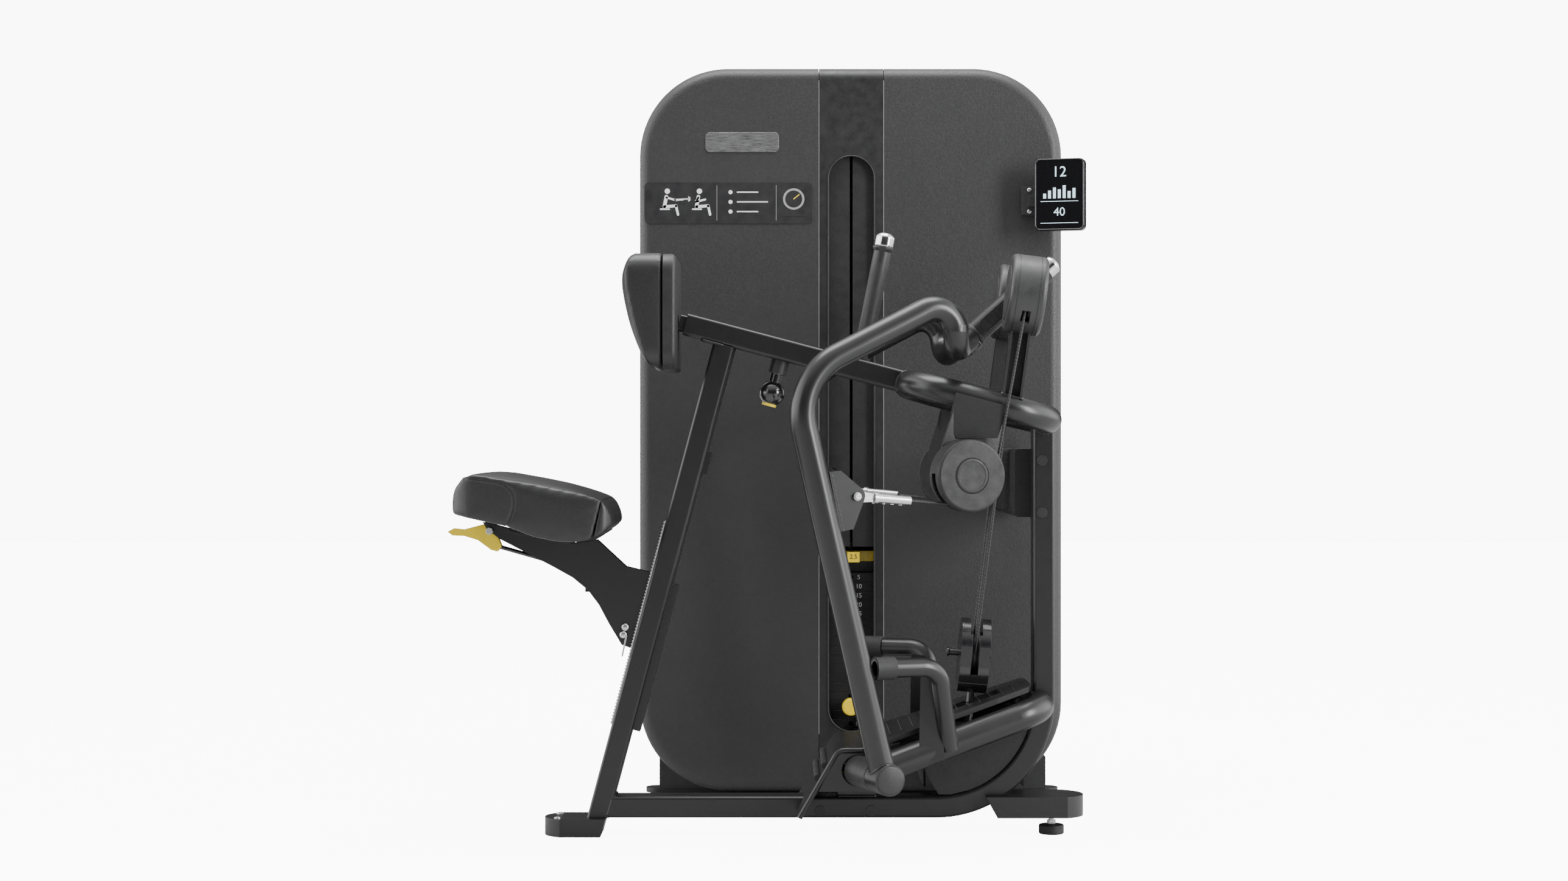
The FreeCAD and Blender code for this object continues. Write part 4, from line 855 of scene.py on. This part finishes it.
def parted_colours():
    """Chromed caps, plated bolts and yellow rings on pieces whose main part is black."""
    fixed_foot, fixed_axis = on_beam(333, 20) * 1000.0, slanted(90 - FIXED_GRIP_LEAN)
    recolour("fixed_grip", CHROME, lambda p: (p - fixed_foot).dot(fixed_axis) > 212.2)
    for side, sign in SIDES:
        foot = mirror(GRIP_FOOT, sign) * 1000.0
        recolour(side + "_handle", CHROME, lambda p: (p - foot).dot(GRIP_AXIS) > 190.2)
        recolour(side + "_handle", SILVER, lambda p: (p - foot).dot(GRIP_AXIS) < -15.0)
    beam_lock = on_beam(188) * 1000.0
    recolour("lock_knob", YELLOW, lambda p: (p - beam_lock).dot(BEAM_UP) < -103.0)
    recolour("lock_knob", SILVER, lambda p: (p - beam_lock).dot(BEAM_UP) > -46.5)
    recolour("levelling_foot", SILVER, lambda p: p.z > 18.4)
    recolour("seat_carriage", SILVER, lambda p: abs(p.y) > 20.3 and p.z < 500)
    recolour("selector_pin", SILVER, lambda p: p.y > 530.5)
    recolour("upper_beam", STRUCTURE, lambda p: (p - beam_lock).dot(BEAM_UP) < -20.3)
    recolour("tower_placards", SILVER, lambda p: p.z > 1320.0)


# ---------------------------------------------------------------- ropes
def rope_path(start, end, step=0.0022):
    count = max(2, int((end - start).length / step))
    return [start.lerp(end, k / count) for k in range(count + 1)]


def rope(name, start, end, body, node=None):
    solid = solid_cord(rope_path(start, end), 2.6, 16, lobes=4, twist=420.0)
    return piece(name, ROPE, body, [solid], 60, node)


def ropes():
    """Laid ropes: each run that changes length is made as two halves, each baked where it lies."""
    start, unit, pin = rope_line()
    for side, sign in SIDES:
        low = mirror(start - unit * 0.0005, sign)
        high = mirror(pin - unit * FITTING_REACH, sign)
        rope(side + "_row_rope_twist", low, high, (side + "_rope_line", side + "_rope_fitting", low, high),
             side + "_row_rope")
    first = "block_ropes"
    for side, sign in SIDES:
        high = mirror(TOP_AT + mm(-2, STRAND_OFF, 0), sign)
        low = mirror(block_at(6, -41.2), sign)
        middle = high.lerp(low, 0.5)
        rope(side + "_strand_upper", high, middle, ("frame", "block_ropes", high, middle), first)
        rope(side + "_strand_lower", middle, low, ("block_ropes", "block", middle, low))
        first = None
    high, low = block_at(-128.5), mm(733, 0, 137)
    middle = high.lerp(low, 0.5)
    rope("drop_rope_upper", high, middle, ("block", "block_ropes", high, middle))
    rope("drop_rope_lower", middle, low, ("block_ropes", "frame", middle, low))
    low, high = mm(528.5, 600, 522.5), mm(528.5, 600, 1370)
    middle = high.lerp(low, 0.5)
    rope("stack_rope_upper", high, middle, ("frame", "stack_rope", high, middle), "stack_rope")
    rope("stack_rope_lower", middle, low, ("stack_rope", "stack", middle, low))
    first = "lift_ropes"
    for side, sign in SIDES:
        low = mirror(in_arm(*SIDE_WHEEL) + ARM_U * 0.0556 + UP * 0.004, sign)
        high = mirror(TOP_AT + mm(0, -STRAND_OFF, 0), sign)
        rope(side + "_lift_rope", low, high, "frame", first)
        first = None
    rope("base_rope", mm(733, 48, 94), mm(733, 549, 94), "frame")
    rope("tower_drop_rope", mm(733, 597.5, 142), mm(733, 600, 1370), "frame")


# ---------------------------------------------------------------- weld beads
def circle_offsets(along, radius, count=48):
    across = along.orthogonal().normalized()
    other = along.cross(across)
    return [(across * math.cos(t) + other * math.sin(t)) * radius / 1000.0 for t in turns(count)]


def box_offsets(across, other, width, height, corner=5.0):
    points = rounded_rectangle(-width / 2, width / 2, -height / 2, height / 2, corner, 5)
    ring = [(across * a + other * b) / 1000.0 for a, b in points]
    return resampled(ring + ring[:1], 0.0025)[:-1]


def saddle(main_at, main_axis, main_radius, start, out, offsets):
    """Line along which a branch pushed along `out` leaves a round tube."""
    line = []
    for offset in offsets:
        spot = start + offset - main_at
        spot -= main_axis * spot.dot(main_axis)
        ahead = out - main_axis * out.dot(main_axis)
        a, b, c = ahead.dot(ahead), 2 * spot.dot(ahead), spot.dot(spot) - (main_radius / 1000.0) ** 2
        reach = (-b + math.sqrt(max(b * b - 4 * a * c, 0.0))) / (2 * a)
        line.append(start + offset + out * reach)
    return line


def bead(name, lines, body="frame", radius=2.3, look=None):
    solids = [solid_cord(line, radius, 8, closed, 0.16) for line, closed in lines]
    piece(name, look or TUBE, body, solids, 60)


def welds():
    """Painted weld beads where tubes and plates meet."""
    beam_hit = mm(624, 0, RING_Z)
    start = on_beam(340)
    lines = [(saddle(beam_hit, ACROSS, 25.4, start + BEAM_DIR * 0.075, -BEAM_DIR,
                     box_offsets(ACROSS, BEAM_UP, 60.6, 40.6)), True)]
    post_hit = mm(876, 0, 771.8)
    post = box_offsets(AHEAD, ACROSS, 40.6, 60.6)
    lines.append((saddle(post_hit, ACROSS, 25.4, mm(873, 0, 771.8), -UP, post), True))
    bead("ring_welds", lines)

    lines = []
    for side, sign in SIDES:
        hit = mirror(mm(799, -150, RING_Z - 175 * math.tan(math.radians(BEAM_SLOPE))), sign)
        post = slanted(82.5)
        across = slanted(-7.5)
        foot = box_offsets(across, ACROSS, 38.6, 26.6, 2.0)
        lines.append((saddle(hit, BEAM_DIR, 25.3, hit, post, foot), True))
        hub = mirror(in_arm(0, HUB_Z, -74), sign)
        leg = (mirror(mm(862, -100, 243), sign) - hub).normalized()
        housing_axis = mirror(ARM_N, sign)
        lines.append((saddle(hub, housing_axis, 28.3, hub, leg, circle_offsets(leg, 26.3)), True))
    bead("bracket_welds", lines)

    for side, sign in SIDES:
        hub = mirror(in_arm(0, HUB_Z), sign)
        up_arm = (mirror(in_arm(*ELBOW), sign) - hub).normalized()
        line = saddle(hub, mirror(ARM_N, sign), 28.3, hub, up_arm, circle_offsets(up_arm, 23.3))
        lug_lines = [(line, True)]
        for n in (-9.0, 9.0):
            low, high = in_arm(-80.5, 574, n), in_arm(-103.5, 678, n)
            lug_lines.append(([mirror(low.lerp(high, k / 40), sign) for k in range(41)], False))
        bead(side + "_arm_welds", lug_lines, side + "_arm", 2.2, ARM)

    top_line = [mm(76.4, y, 73.4) for y in range(-27, 28, 2)]
    block = box_offsets(AHEAD, ACROSS, 71.0, 53.0, 2.0)
    lines = [(top_line, False), ([mm(525, 0, 73.8) + offset for offset in block], True)]
    beam_foot = [on_beam(t, -20.8, y) for t, y in column_top_loop()]
    lines.append((beam_foot, True))
    bead("base_welds", lines)


def column_top_loop():
    """Loop round the column where it meets the beam's underside, as (along the beam, across)."""
    centre = 57.5
    loop = rounded_rectangle(centre - 20.6, centre + 20.6, -30.4, 30.4, 5.0, 4)
    flat = [Vector((a, b, 0.0)) for a, b in loop]
    return [(p.x, p.y) for p in resampled(flat + flat[:1], 2.5)[:-1]]


# ---------------------------------------------------------------- grips, handles and arm fittings
def grips():
    """Flared collars, chromed domes and rubber rings on the fixed grip and the two turning handles."""
    foot, axis = on_beam(333, 20), slanted(90 - FIXED_GRIP_LEAN)
    collar = [(205.0, 16.4), (208.0, 18.4), (211.5, 20.0), (213.5, 19.8), (213.5, 17.0), (205.0, 15.6)]
    dome = [(231.0, 17.4), (236.5, 15.4), (239.8, 11.0), (241.2, 5.5), (241.6, 0.0)]
    piece("fixed_grip_collar", GRIP, "frame", [solid_ring(foot, axis, collar)])
    piece("fixed_grip_dome", CHROME, "frame", [solid_turned(foot, axis, dome)], 60)
    foot_ring = [(15.0, 12.0), (15.0, 17.6), (17.0, 18.4), (21.5, 18.2), (23.0, 16.6), (23.0, 12.0)]
    piece("fixed_grip_foot_ring", RUBBER, "frame", [solid_ring(foot, axis, foot_ring)])
    for side, sign in SIDES:
        base = mirror(GRIP_FOOT, sign)
        body = side + "_handle"
        ring = [(183.0, 17.2), (186.0, 19.6), (190.0, 21.4), (192.5, 21.2), (193.0, 18.0), (183.0, 16.4)]
        piece(side + "_handle_collar", GRIP, body, [solid_ring(base, GRIP_AXIS, ring)])
        dome = [(206.0, 16.8), (213.5, 15.2), (217.6, 11.0), (219.4, 5.6), (219.8, 0.0)]
        piece(side + "_handle_dome", CHROME, body, [solid_turned(base, GRIP_AXIS, dome)], 60)
        heel = [(14.0, 15.0), (14.0, 21.4), (16.0, 22.4), (21.0, 22.4), (23.0, 21.2), (23.0, 15.0)]
        piece(side + "_handle_heel", RUBBER, body, [solid_ring(base, GRIP_AXIS, heel)])
        across = ACROSS * -1.0
        grip_up = GRIP_AXIS.cross(across)
        for face_sign, face_name in ((1.0, "outer"), (-1.0, "inner")):
            middle = base + GRIP_AXIS * 0.102 + ACROSS * (-0.0181 * face_sign)
            loop = oblong(140.0, 24.0, 10)
            line = [middle + (GRIP_AXIS * a + grip_up * b) / 1000.0 for a, b in loop]
            line = resampled(line + line[:1], 0.002)[:-1]
            solids = [solid_cord(line, 0.7, 6, True)]
            for k in range(11):
                rib = middle + GRIP_AXIS * (-0.050 + 0.010 * k)
                solids.append(solid_cord([rib - grip_up * 0.0088, rib, rib + grip_up * 0.0088], 0.8, 6))
            piece(side + "_handle_" + face_name + "_inlay", GRIP, body, solids, 60)


def hexagon(start, axis, radius, height):
    """Six-sided nut or bolt head with a slight chamfer."""
    return solid_turned(start, axis, [(0.0, radius), (height * 0.8, radius), (height, radius * 0.86)], 6)


def button(start, axis, radius, height):
    """Domed bolt head."""
    profile = [(0.0, radius), (height * 0.35, radius), (height * 0.75, radius * 0.82), (height, radius * 0.4),
               (height * 1.04, 0.0)]
    return solid_turned(start, axis, profile, 24)


def filleted(points, bends, step=0.004):
    """Path in metres through corner points, each corner rounded to its bend radius in millimetres."""
    path = [points[0]]
    for before, corner, after, bend in zip(points, points[1:], points[2:], bends):
        into, out = (corner - before).normalized(), (after - corner).normalized()
        turn = into.angle(out)
        trim = bend / 1000.0 * math.tan(turn / 2)
        start = corner - into * trim
        inward = (out - into * out.dot(into)).normalized()
        count = max(6, int(turn * bend / 1000.0 / step))
        for k in range(count + 1):
            angle = turn * k / count
            along, aside = math.sin(angle) * bend / 1000.0, (1 - math.cos(angle)) * bend / 1000.0
            path.append(start + into * along + inward * aside)
    path.append(points[-1])
    return path


def even(path, step=0.006):
    """The same path in even steps, its last point kept."""
    spaced = resampled(path, step)
    if (spaced[-1] - path[-1]).length > 0.001:
        spaced.append(path[-1])
    return spaced


def arm_bodies():
    """Each arm as one bent tube with its hub, rope lugs, pin and the eye the handle turns in."""
    for side, sign in SIDES:
        corners = [mirror(in_arm(s, z), sign) for s, z in
                   ((0, HUB_Z), ELBOW, (138.0, 994.0), (138.0, 895.0))]
        foot = mirror(GRIP_FOOT, sign)
        corners.append(foot - (foot - corners[-1]).normalized() * 0.010)
        path = even(filleted(corners, (115.0, 42.0, 42.0)))
        out = mirror(ARM_N, sign)
        hub = mirror(in_arm(0, HUB_Z), sign)
        hub_profile = [(-25.0, 0.0), (-25.0, 26.6), (-23.6, 28.0), (28.6, 28.0), (30.0, 26.6), (30.0, 0.0)]
        eye_profile = [(-14.9, 0.0), (-14.9, 24.8), (-13.7, 26.0), (11.8, 26.0), (13.0, 24.8), (13.0, 0.0)]
        solids = [solid_cord(path, 23.0, 56), solid_turned(hub, out, hub_profile, 56),
                  solid_turned(foot, GRIP_AXIS, eye_profile, 56)]
        lug = [(-108, 678), (-86, 681), (-45, 648), (-41, 642), (-40, 636), (-41.5, 630), (-62, 578),
               (-86, 574)]
        flat_u = mirror(ARM_U, sign)
        for n in (-11.0, 7.0):
            origin = mirror(in_arm(0, 0, n), sign)
            low, high = (0.0, 4.0) if sign > 0 else (-4.0, 0.0)
            solids.append(solid_plate(lug, origin, flat_u, UP, low, high))
        solids.append(solid_turned(mirror(in_arm(*ROPE_PIN), sign), out,
                                   [(-14.0, 0.0), (-14.0, 4.6), (-13.6, 5.0), (11.0, 5.0)], 24))
        body = side + "_arm"
        piece(side + "_arm_body", ARM, body, solids, 40, side + "_arm_tube")
        head = solid_turned(mirror(in_arm(*ROPE_PIN), sign), out,
                            [(11.0, 7.0), (11.4, 7.5), (15.4, 7.5), (16.0, 6.9), (16.0, 0.0)], 28)
        piece(side + "_pin_collar", SILVER, body, [head], 50)


def arm_fittings():
    """Bolt head on the rope pin, screws under the clamp barrel, hub end caps."""
    _, unit, pin = rope_line()
    for side, sign in SIDES:
        out = mirror(ARM_N, sign)
        pin_at = mirror(in_arm(*ROPE_PIN, 16), sign)
        piece(side + "_pin_head", SILVER, side + "_arm", [hexagon(pin_at, out, 6.6, 4.5)])
        solids = []
        back = mirror(-unit, sign)
        down = back.cross(out).normalized()
        down = down if down.z < 0 else -down
        for along in (0.056, 0.072, 0.088):
            seat = mirror(pin, sign) + back * along + down * 0.0080
            solids.append(solid_turned(seat, down, [(0.0, 3.0), (1.6, 3.0), (1.6, 1.7), (0.9, 1.6)], 16))
        piece(side + "_clamp_screws", SILVER, side + "_rope_fitting", solids)
        hub = mirror(in_arm(0, HUB_Z, 30), sign)
        cap = [(0.0, 26.0), (1.2, 25.2), (1.8, 23.0), (1.9, 0.0)]
        piece(side + "_hub_cap", PLUG, side + "_arm", [solid_turned(hub, out, cap)], 50)
        centre = mirror(in_arm(*SIDE_WHEEL, 24), sign)
        lid = [(0.0, 31.2), (0.8, 30.6), (1.2, 29.4), (1.2, 26.0), (0.6, 25.4), (0.6, 0.0)]
        lid = [solid_turned(centre, out, lid, 48)]
        # The lid takes the darker copy of the cover plastic too: painted shade.
        piece(side + "_side_cover_lid", SHADED_SIDE_COVER, "frame", lid)
        across = out.cross(UP).normalized()
        # Painted shade: a black ring where the gap round the lid falls in shade.
        line = [centre + (across * math.cos(t) + UP * math.sin(t)) * 0.0318 for t in turns(72)]
        piece(side + "_lid_gap_shade", THREAD_AND_PAINTED_SHADE, "frame", [solid_cord(line, 0.8, 6, True)], 60)
        seam = [(-0.6, 72.0), (-0.6, 72.5), (0.6, 72.5), (0.6, 72.0)]
        hub_top = mirror(TOP_AT, sign)
        rims = [solid_ring(hub_top + TOP_AXIS * shift, TOP_AXIS, seam, 72) for shift in (-0.0195, 0.0195)]
        piece(side + "_top_cover_seams", STRIP, "frame", rims)
        plate_rings = [(0.0, 50.0), (0.8, 49.4), (1.0, 48.4), (1.0, 0.0)]
        faces = [solid_turned(hub_top + TOP_AXIS * 0.033 * way, TOP_AXIS * way, plate_rings, 48)
                 for way in (-1, 1)]
        piece(side + "_top_cover_lids", COVER, "frame", faces)


# ---------------------------------------------------------------- tower front and back
def seated_figure(a, b, pull):
    """Pictogram of a person rowing, drawn with plain bars; `pull` bends the arms."""
    hand = a + (14 if pull else 34)
    elbow = a + (-6 if pull else 18)
    drop = 0 if pull else 4
    return [disc(a + 2, b + 22, 5.5), stroke(a, b + 11, a - 4, b - 10, 7.0),
            stroke(a - 4, b - 10, a + 20, b - 8, 6.0),
            stroke(a + 20, b - 8, a + 24, b - 26, 5.0), stroke(a, b + 9, elbow, b + drop, 4.0),
            stroke(elbow, b + drop, hand, b + 5, 4.0), stroke(a - 12, b - 15, a + 6, b - 15, 3.0)]


def tower_details():
    """Printed pictograms, light-grey lines painted as highlights beside the centre strip, stack figures and
    back vents.
    """
    face = mm(276, 498.8, 1223)
    light = []
    for a, pull in ((-128, False), (-62, True)):
        light += seated_figure(a, 2, pull)
    light += [stroke(-92, 8, -78, 8, 2.4), stroke(-82, 12, -78, 8, 2.4), stroke(-82, 4, -78, 8, 2.4)]
    for row in range(3):
        light.append(stroke(18, 22 - 20 * row, 60 + 20 * (row % 2), 22 - 20 * row, 2.6))
        light.append(disc(4, 22 - 20 * row, 4.2))
    solids = [solid_plate(outline, face, AHEAD, UP, 0.0, 0.25) for outline in light]
    piece("placard_pictograms", WHITE_INK, "frame", solids)
    grey = [stroke(-24, -36, -24, 36, 0.9), stroke(98, -36, 98, 36, 0.9), disc(134, 8, 22, 40)]
    solids = [solid_plate(outline, face, AHEAD, UP, 0.0, 0.2) for outline in grey]
    piece("placard_dividers", GREY_INK_AND_HIGHLIGHT, "frame", solids)
    dark = [solid_plate(outline, face, AHEAD, UP, 0.2, 0.35)
            for outline in (disc(134, 8, 17.5, 40), stroke(112, -26, 156, -26, 3.0))]
    piece("placard_dial", PLACARD, "frame", dark)
    accent = [solid_plate(stroke(134, 8, 145, 17, 2.0), face, AHEAD, UP, 0.35, 0.5)]
    piece("placard_pointer", YELLOW_INK, "frame", accent)

    # Light-grey lines beside the centre strip: painted highlights where its edges catch the light.
    edge_highlights = []
    for x in (462.0, 595.0):
        strip = [(-0.5, 0), (0.5, 0), (0.5, 1345), (-0.5, 1345)]
        edge_highlights.append(solid_plate(strip, mm(x, 500.6, 130), AHEAD, UP, 0, 1.0))
    piece("strip_edge_highlights", GREY_INK_AND_HIGHLIGHT, "frame", edge_highlights)

    rim = rounded_rectangle(-47.6, 47.6, -592.5, 592.5, 47.5, 16)
    line = [mm(528.5, 499.4, 727.5) + mm(a, 0, b) for a, b in rim]
    line = resampled(line + line[:1], 0.006)[:-1]
    piece("slot_lip", STRIP, "frame", [solid_cord(line, 1.6, 8, True)], 60)

    for index in range(20):
        value = str(5 * (20 - index))
        body = "stack" if index >= 5 else "frame"
        spot = mm(545, 541.8, 80 + 19.0 * index + 9.3)
        digits("stack_figure_" + value, value, 13.0, spot, AHEAD, UP, WHITE_INK, body)
    spot = mm(533, 503.8, 494.5)
    digits("increment_figure", "2.5", 13.0, spot, AHEAD, UP, THREAD_AND_PAINTED_SHADE, "increment_weight")

    vents = []
    for row in range(9):
        for x in (300.0, 760.0):
            spot = mm(x, 870.0, 1080 + 18.0 * row)
            vents.append(solid_plate(oblong(120.0, 7.0), spot, -AHEAD, UP, 0.0, 0.6))
    piece("back_vents", LEAF, "frame", vents)
    screws = []
    for x in (160.0, 420.0, 640.0, 900.0):
        for z in (260.0, 760.0, 1260.0):
            screws.append(button(mm(x, 870.0, z), ACROSS, 6.5, 2.6))
    piece("back_screws", SILVER, "frame", screws, 50)


# ---------------------------------------------------------------- display
def display_details():
    """Bezel, plain bars and figures on the little screen."""
    yaw = math.radians(16.0)
    right = Vector((math.cos(yaw), -math.sin(yaw), 0.0))
    front = Vector((-math.sin(yaw), -math.cos(yaw), 0.0))
    centre = mm(951, 428, 1233) + front * 0.012
    frame_line = rounded_rectangle(-49.0, 49.0, -71.0, 71.0, 9.0, 6)
    line = [centre + (right * a + UP * b) / 1000.0 for a, b in frame_line]
    line = resampled(line + line[:1], 0.003)[:-1]
    piece("display_bezel", KNOB, "display", [solid_cord(line, 1.5, 8, True)], 60)
    bars = []
    for k, tall in enumerate((10, 16, 22, 18, 26, 14, 20)):
        a = -30 + 10 * k
        bars.append([(a - 3, -8), (a + 3, -8), (a + 3, -8 + tall), (a - 3, -8 + tall)])
    solids = [solid_plate(outline, centre, right, UP, 0.0, 0.2) for outline in bars]
    solids.append(solid_plate(stroke(-38, -14, 38, -14, 1.2), centre, right, UP, 0.0, 0.2))
    solids.append(solid_plate(stroke(-38, -58, 38, -58, 1.2), centre, right, UP, 0.0, 0.2))
    piece("display_bars", SCREEN_LIGHT, "display", solids)
    digits("display_count", "12", 30.0, centre + UP * 0.045, right, UP, SCREEN_LIGHT, "display")
    digits("display_load", "40", 24.0, centre - UP * 0.036, right, UP, SCREEN_LIGHT, "display")
    back = mm(951, 428, 1233) - front * 0.027
    dome = [(0.0, 35.0), (3.0, 33.0), (5.0, 28.0), (6.0, 0.0)]
    piece("display_hump_lid", COVER, "display", [solid_turned(back, -front, dome, 40)])
    cap = [button(mm(962, 483, 1260), UP, 12.0, 3.0)]
    piece("display_knuckle_cap", PLUG, "display", cap, 50)
    screws = [button(mm(893, 484, z), -ACROSS, 4.5, 2.4) for z in (1204.0, 1248.0)]
    piece("display_foot_screws", SILVER, "frame", screws, 50)


# ---------------------------------------------------------------- everything small
def small_details():
    """Bolts, ribs, rings and lips on the seat, the block, the platform and the knob."""
    bolts = []
    for y_side in (-1.0, 1.0):
        for x, z in ((95.0, 387.0), (91.5, 373.0)):
            bolts.append(button(mm(x, 24 * y_side, z), ACROSS * y_side, 7.0, 3.2))
    piece("carriage_bolts", SILVER, "seat", bolts, 50)
    nuts = [hexagon(mm(-156.6, 27 * way, 566), ACROSS * way, 7.5, 5.0) for way in (-1.0, 1.0)]
    piece("lever_pin_nuts", SILVER, "seat", nuts)
    ribs = []
    for k in range(5):
        spot = mm(-218 + 8 * k, 0, 566.5 - 0.6 * k)
        ribs.append(solid_cord([spot - ACROSS * 0.010, spot, spot + ACROSS * 0.010], 1.8, 8))
    piece("lever_ribs", YELLOW, "seat_lever", ribs, 60)

    board = [(-150, 588), (-112, 576), (-62, 557), (-24, 549), (10, 547), (43, 551), (66, 566), (62, 574),
             (41, 563), (10, 558), (-24, 560), (-62, 568), (-112, 587), (-150, 598)]
    solids = [solid_plate(board, mm(0, 0, 0), AHEAD, UP, -70.0, 70.0)]
    piece("seat_board", SHELL, "seat", solids, 30)

    lip = [block_at(-53, -39.6, a) for a in range(-27, 28, 3)]
    piece("block_lip", LEAF, "block", [solid_cord(lip, 1.2, 8)], 60)

    ribs = []
    for k in range(13):
        along = 0.035 + 0.022 * k
        left_end = mm(531, -96 + 1.6 * k, 176.6) + slanted(19.09) * along
        middle = mirror(left_end, 0.0)
        ribs.append(solid_cord([left_end, middle], 1.1, 6))
        ribs.append(solid_cord([middle, mirror(left_end, -1.0)], 1.1, 6))
    piece("platform_tread", RUBBER, "frame", ribs, 60)

    screws = [button(mm(-30.0, y, 33.0), UP, 7.0, 3.0) for y in (-30.0, 30.0)]
    piece("seat_foot_screws", SILVER, "frame", screws, 50)


# ---------------------------------------------------------------- studio
PALE_GLOW = 9.6
FLOOR_REACH = 14.0
WORLD_BASE = 0.06
WORLD_SIDES = 4.2
WORLD_TOP = 1.5


def studio():
    """A pale floor under an even pale surround, soft side light and a level camera."""
    ground = bpy.data.meshes.new("studio_floor")
    reach = FLOOR_REACH
    ground.from_pydata([(-reach, -reach, 0), (reach, -reach, 0), (reach, reach, 0), (-reach, reach, 0)], [],
                       [(0, 1, 2, 3)])
    floor = bpy.data.objects.new("studio_floor", ground)
    bpy.context.scene.collection.objects.link(floor)
    g = Graph("studio_white")
    g.colour(g.mix(g.span(g.noise(1.5, 2.0), 0.0, 1.0), (0.52, 0.52, 0.525), (0.56, 0.56, 0.56)))
    g.set(Roughness=0.8)
    rays = g.add("ShaderNodeLightPath")
    glow = g.span(rays.outputs["Is Camera Ray"], 0.0, PALE_GLOW, 0.0, 1.0)
    g.shader.inputs["Emission Color"].default_value = (1.0, 1.0, 1.0, 1.0)
    g.link(glow, g.shader.inputs["Emission Strength"])
    ground.materials.append(g.material)

    world = bpy.data.worlds.new("studio_light")
    world.use_nodes = True
    tree = world.node_tree
    back = next(n for n in tree.nodes if n.type == "BACKGROUND")
    coord = tree.nodes.new("ShaderNodeTexCoord")
    parts = tree.nodes.new("ShaderNodeSeparateXYZ")
    tree.links.new(coord.outputs["Generated"], parts.inputs["Vector"])

    def math_node(operation, *values):
        node = tree.nodes.new("ShaderNodeMath")
        node.operation = operation
        for socket, value in zip(node.inputs, values):
            tree.links.new(value, socket)
        return node.outputs[0]

    def ramp(value, *ends):
        node = tree.nodes.new("ShaderNodeMapRange")
        node.interpolation_type = "SMOOTHSTEP"
        tree.links.new(value, node.inputs["Value"])
        for key, end in zip(("From Min", "From Max", "To Min", "To Max"), ends):
            node.inputs[key].default_value = end
        return node.outputs[0]

    sides = ramp(math_node("ABSOLUTE", parts.outputs["X"]), 0.55, 0.97, WORLD_BASE, WORLD_SIDES)
    above = ramp(parts.outputs["Z"], 0.2, 0.95, 0.0, WORLD_TOP)
    total = math_node("ADD", sides, above)
    seen = tree.nodes.new("ShaderNodeLightPath")
    choice = tree.nodes.new("ShaderNodeMix")
    tree.links.new(seen.outputs["Is Camera Ray"], choice.inputs[0])
    tree.links.new(total, choice.inputs[2])
    choice.inputs[3].default_value = PALE_GLOW
    tree.links.new(choice.outputs[0], back.inputs["Strength"])
    back.inputs["Color"].default_value = (1.0, 1.0, 1.0, 1.0)
    bpy.context.scene.world = world

    def softbox(name, place, target, size, power):
        light = bpy.data.lights.new(name, "AREA")
        light.shape = "RECTANGLE"
        light.size, light.size_y = size
        light.energy = power
        lamp = bpy.data.objects.new(name, light)
        lamp.location = place
        lamp.rotation_euler = (Vector(target) - Vector(place)).to_track_quat("-Z", "Y").to_euler()
        bpy.context.scene.collection.objects.link(lamp)

    softbox("key_left", (-3.2, -3.4, 2.9), (0.3, 0.0, 0.7), (1.2, 2.4), 14.0)
    softbox("fill_right", (3.9, -2.6, 1.9), (0.5, 0.0, 0.7), (1.0, 2.4), 185.0)
    softbox("top", (0.4, 0.1, 3.6), (0.4, 0.1, 0.0), (2.6, 1.6), 120.0)

    camera = bpy.data.objects.new("camera", bpy.data.cameras.new("camera"))
    camera.location = (0.390, -4.900, 0.734)
    camera.rotation_euler = (math.radians(90), 0.0, 0.0)
    camera.data.sensor_width = 36.0
    camera.data.lens = 60.26
    camera.data.clip_end = 60.0
    bpy.context.scene.collection.objects.link(camera)
    bpy.context.scene.camera = camera


studio()
seat_cushion()
chest_pad()
parted_colours()
ropes()
welds()
grips()
arm_bodies()
arm_fittings()
tower_details()
display_details()
small_details()
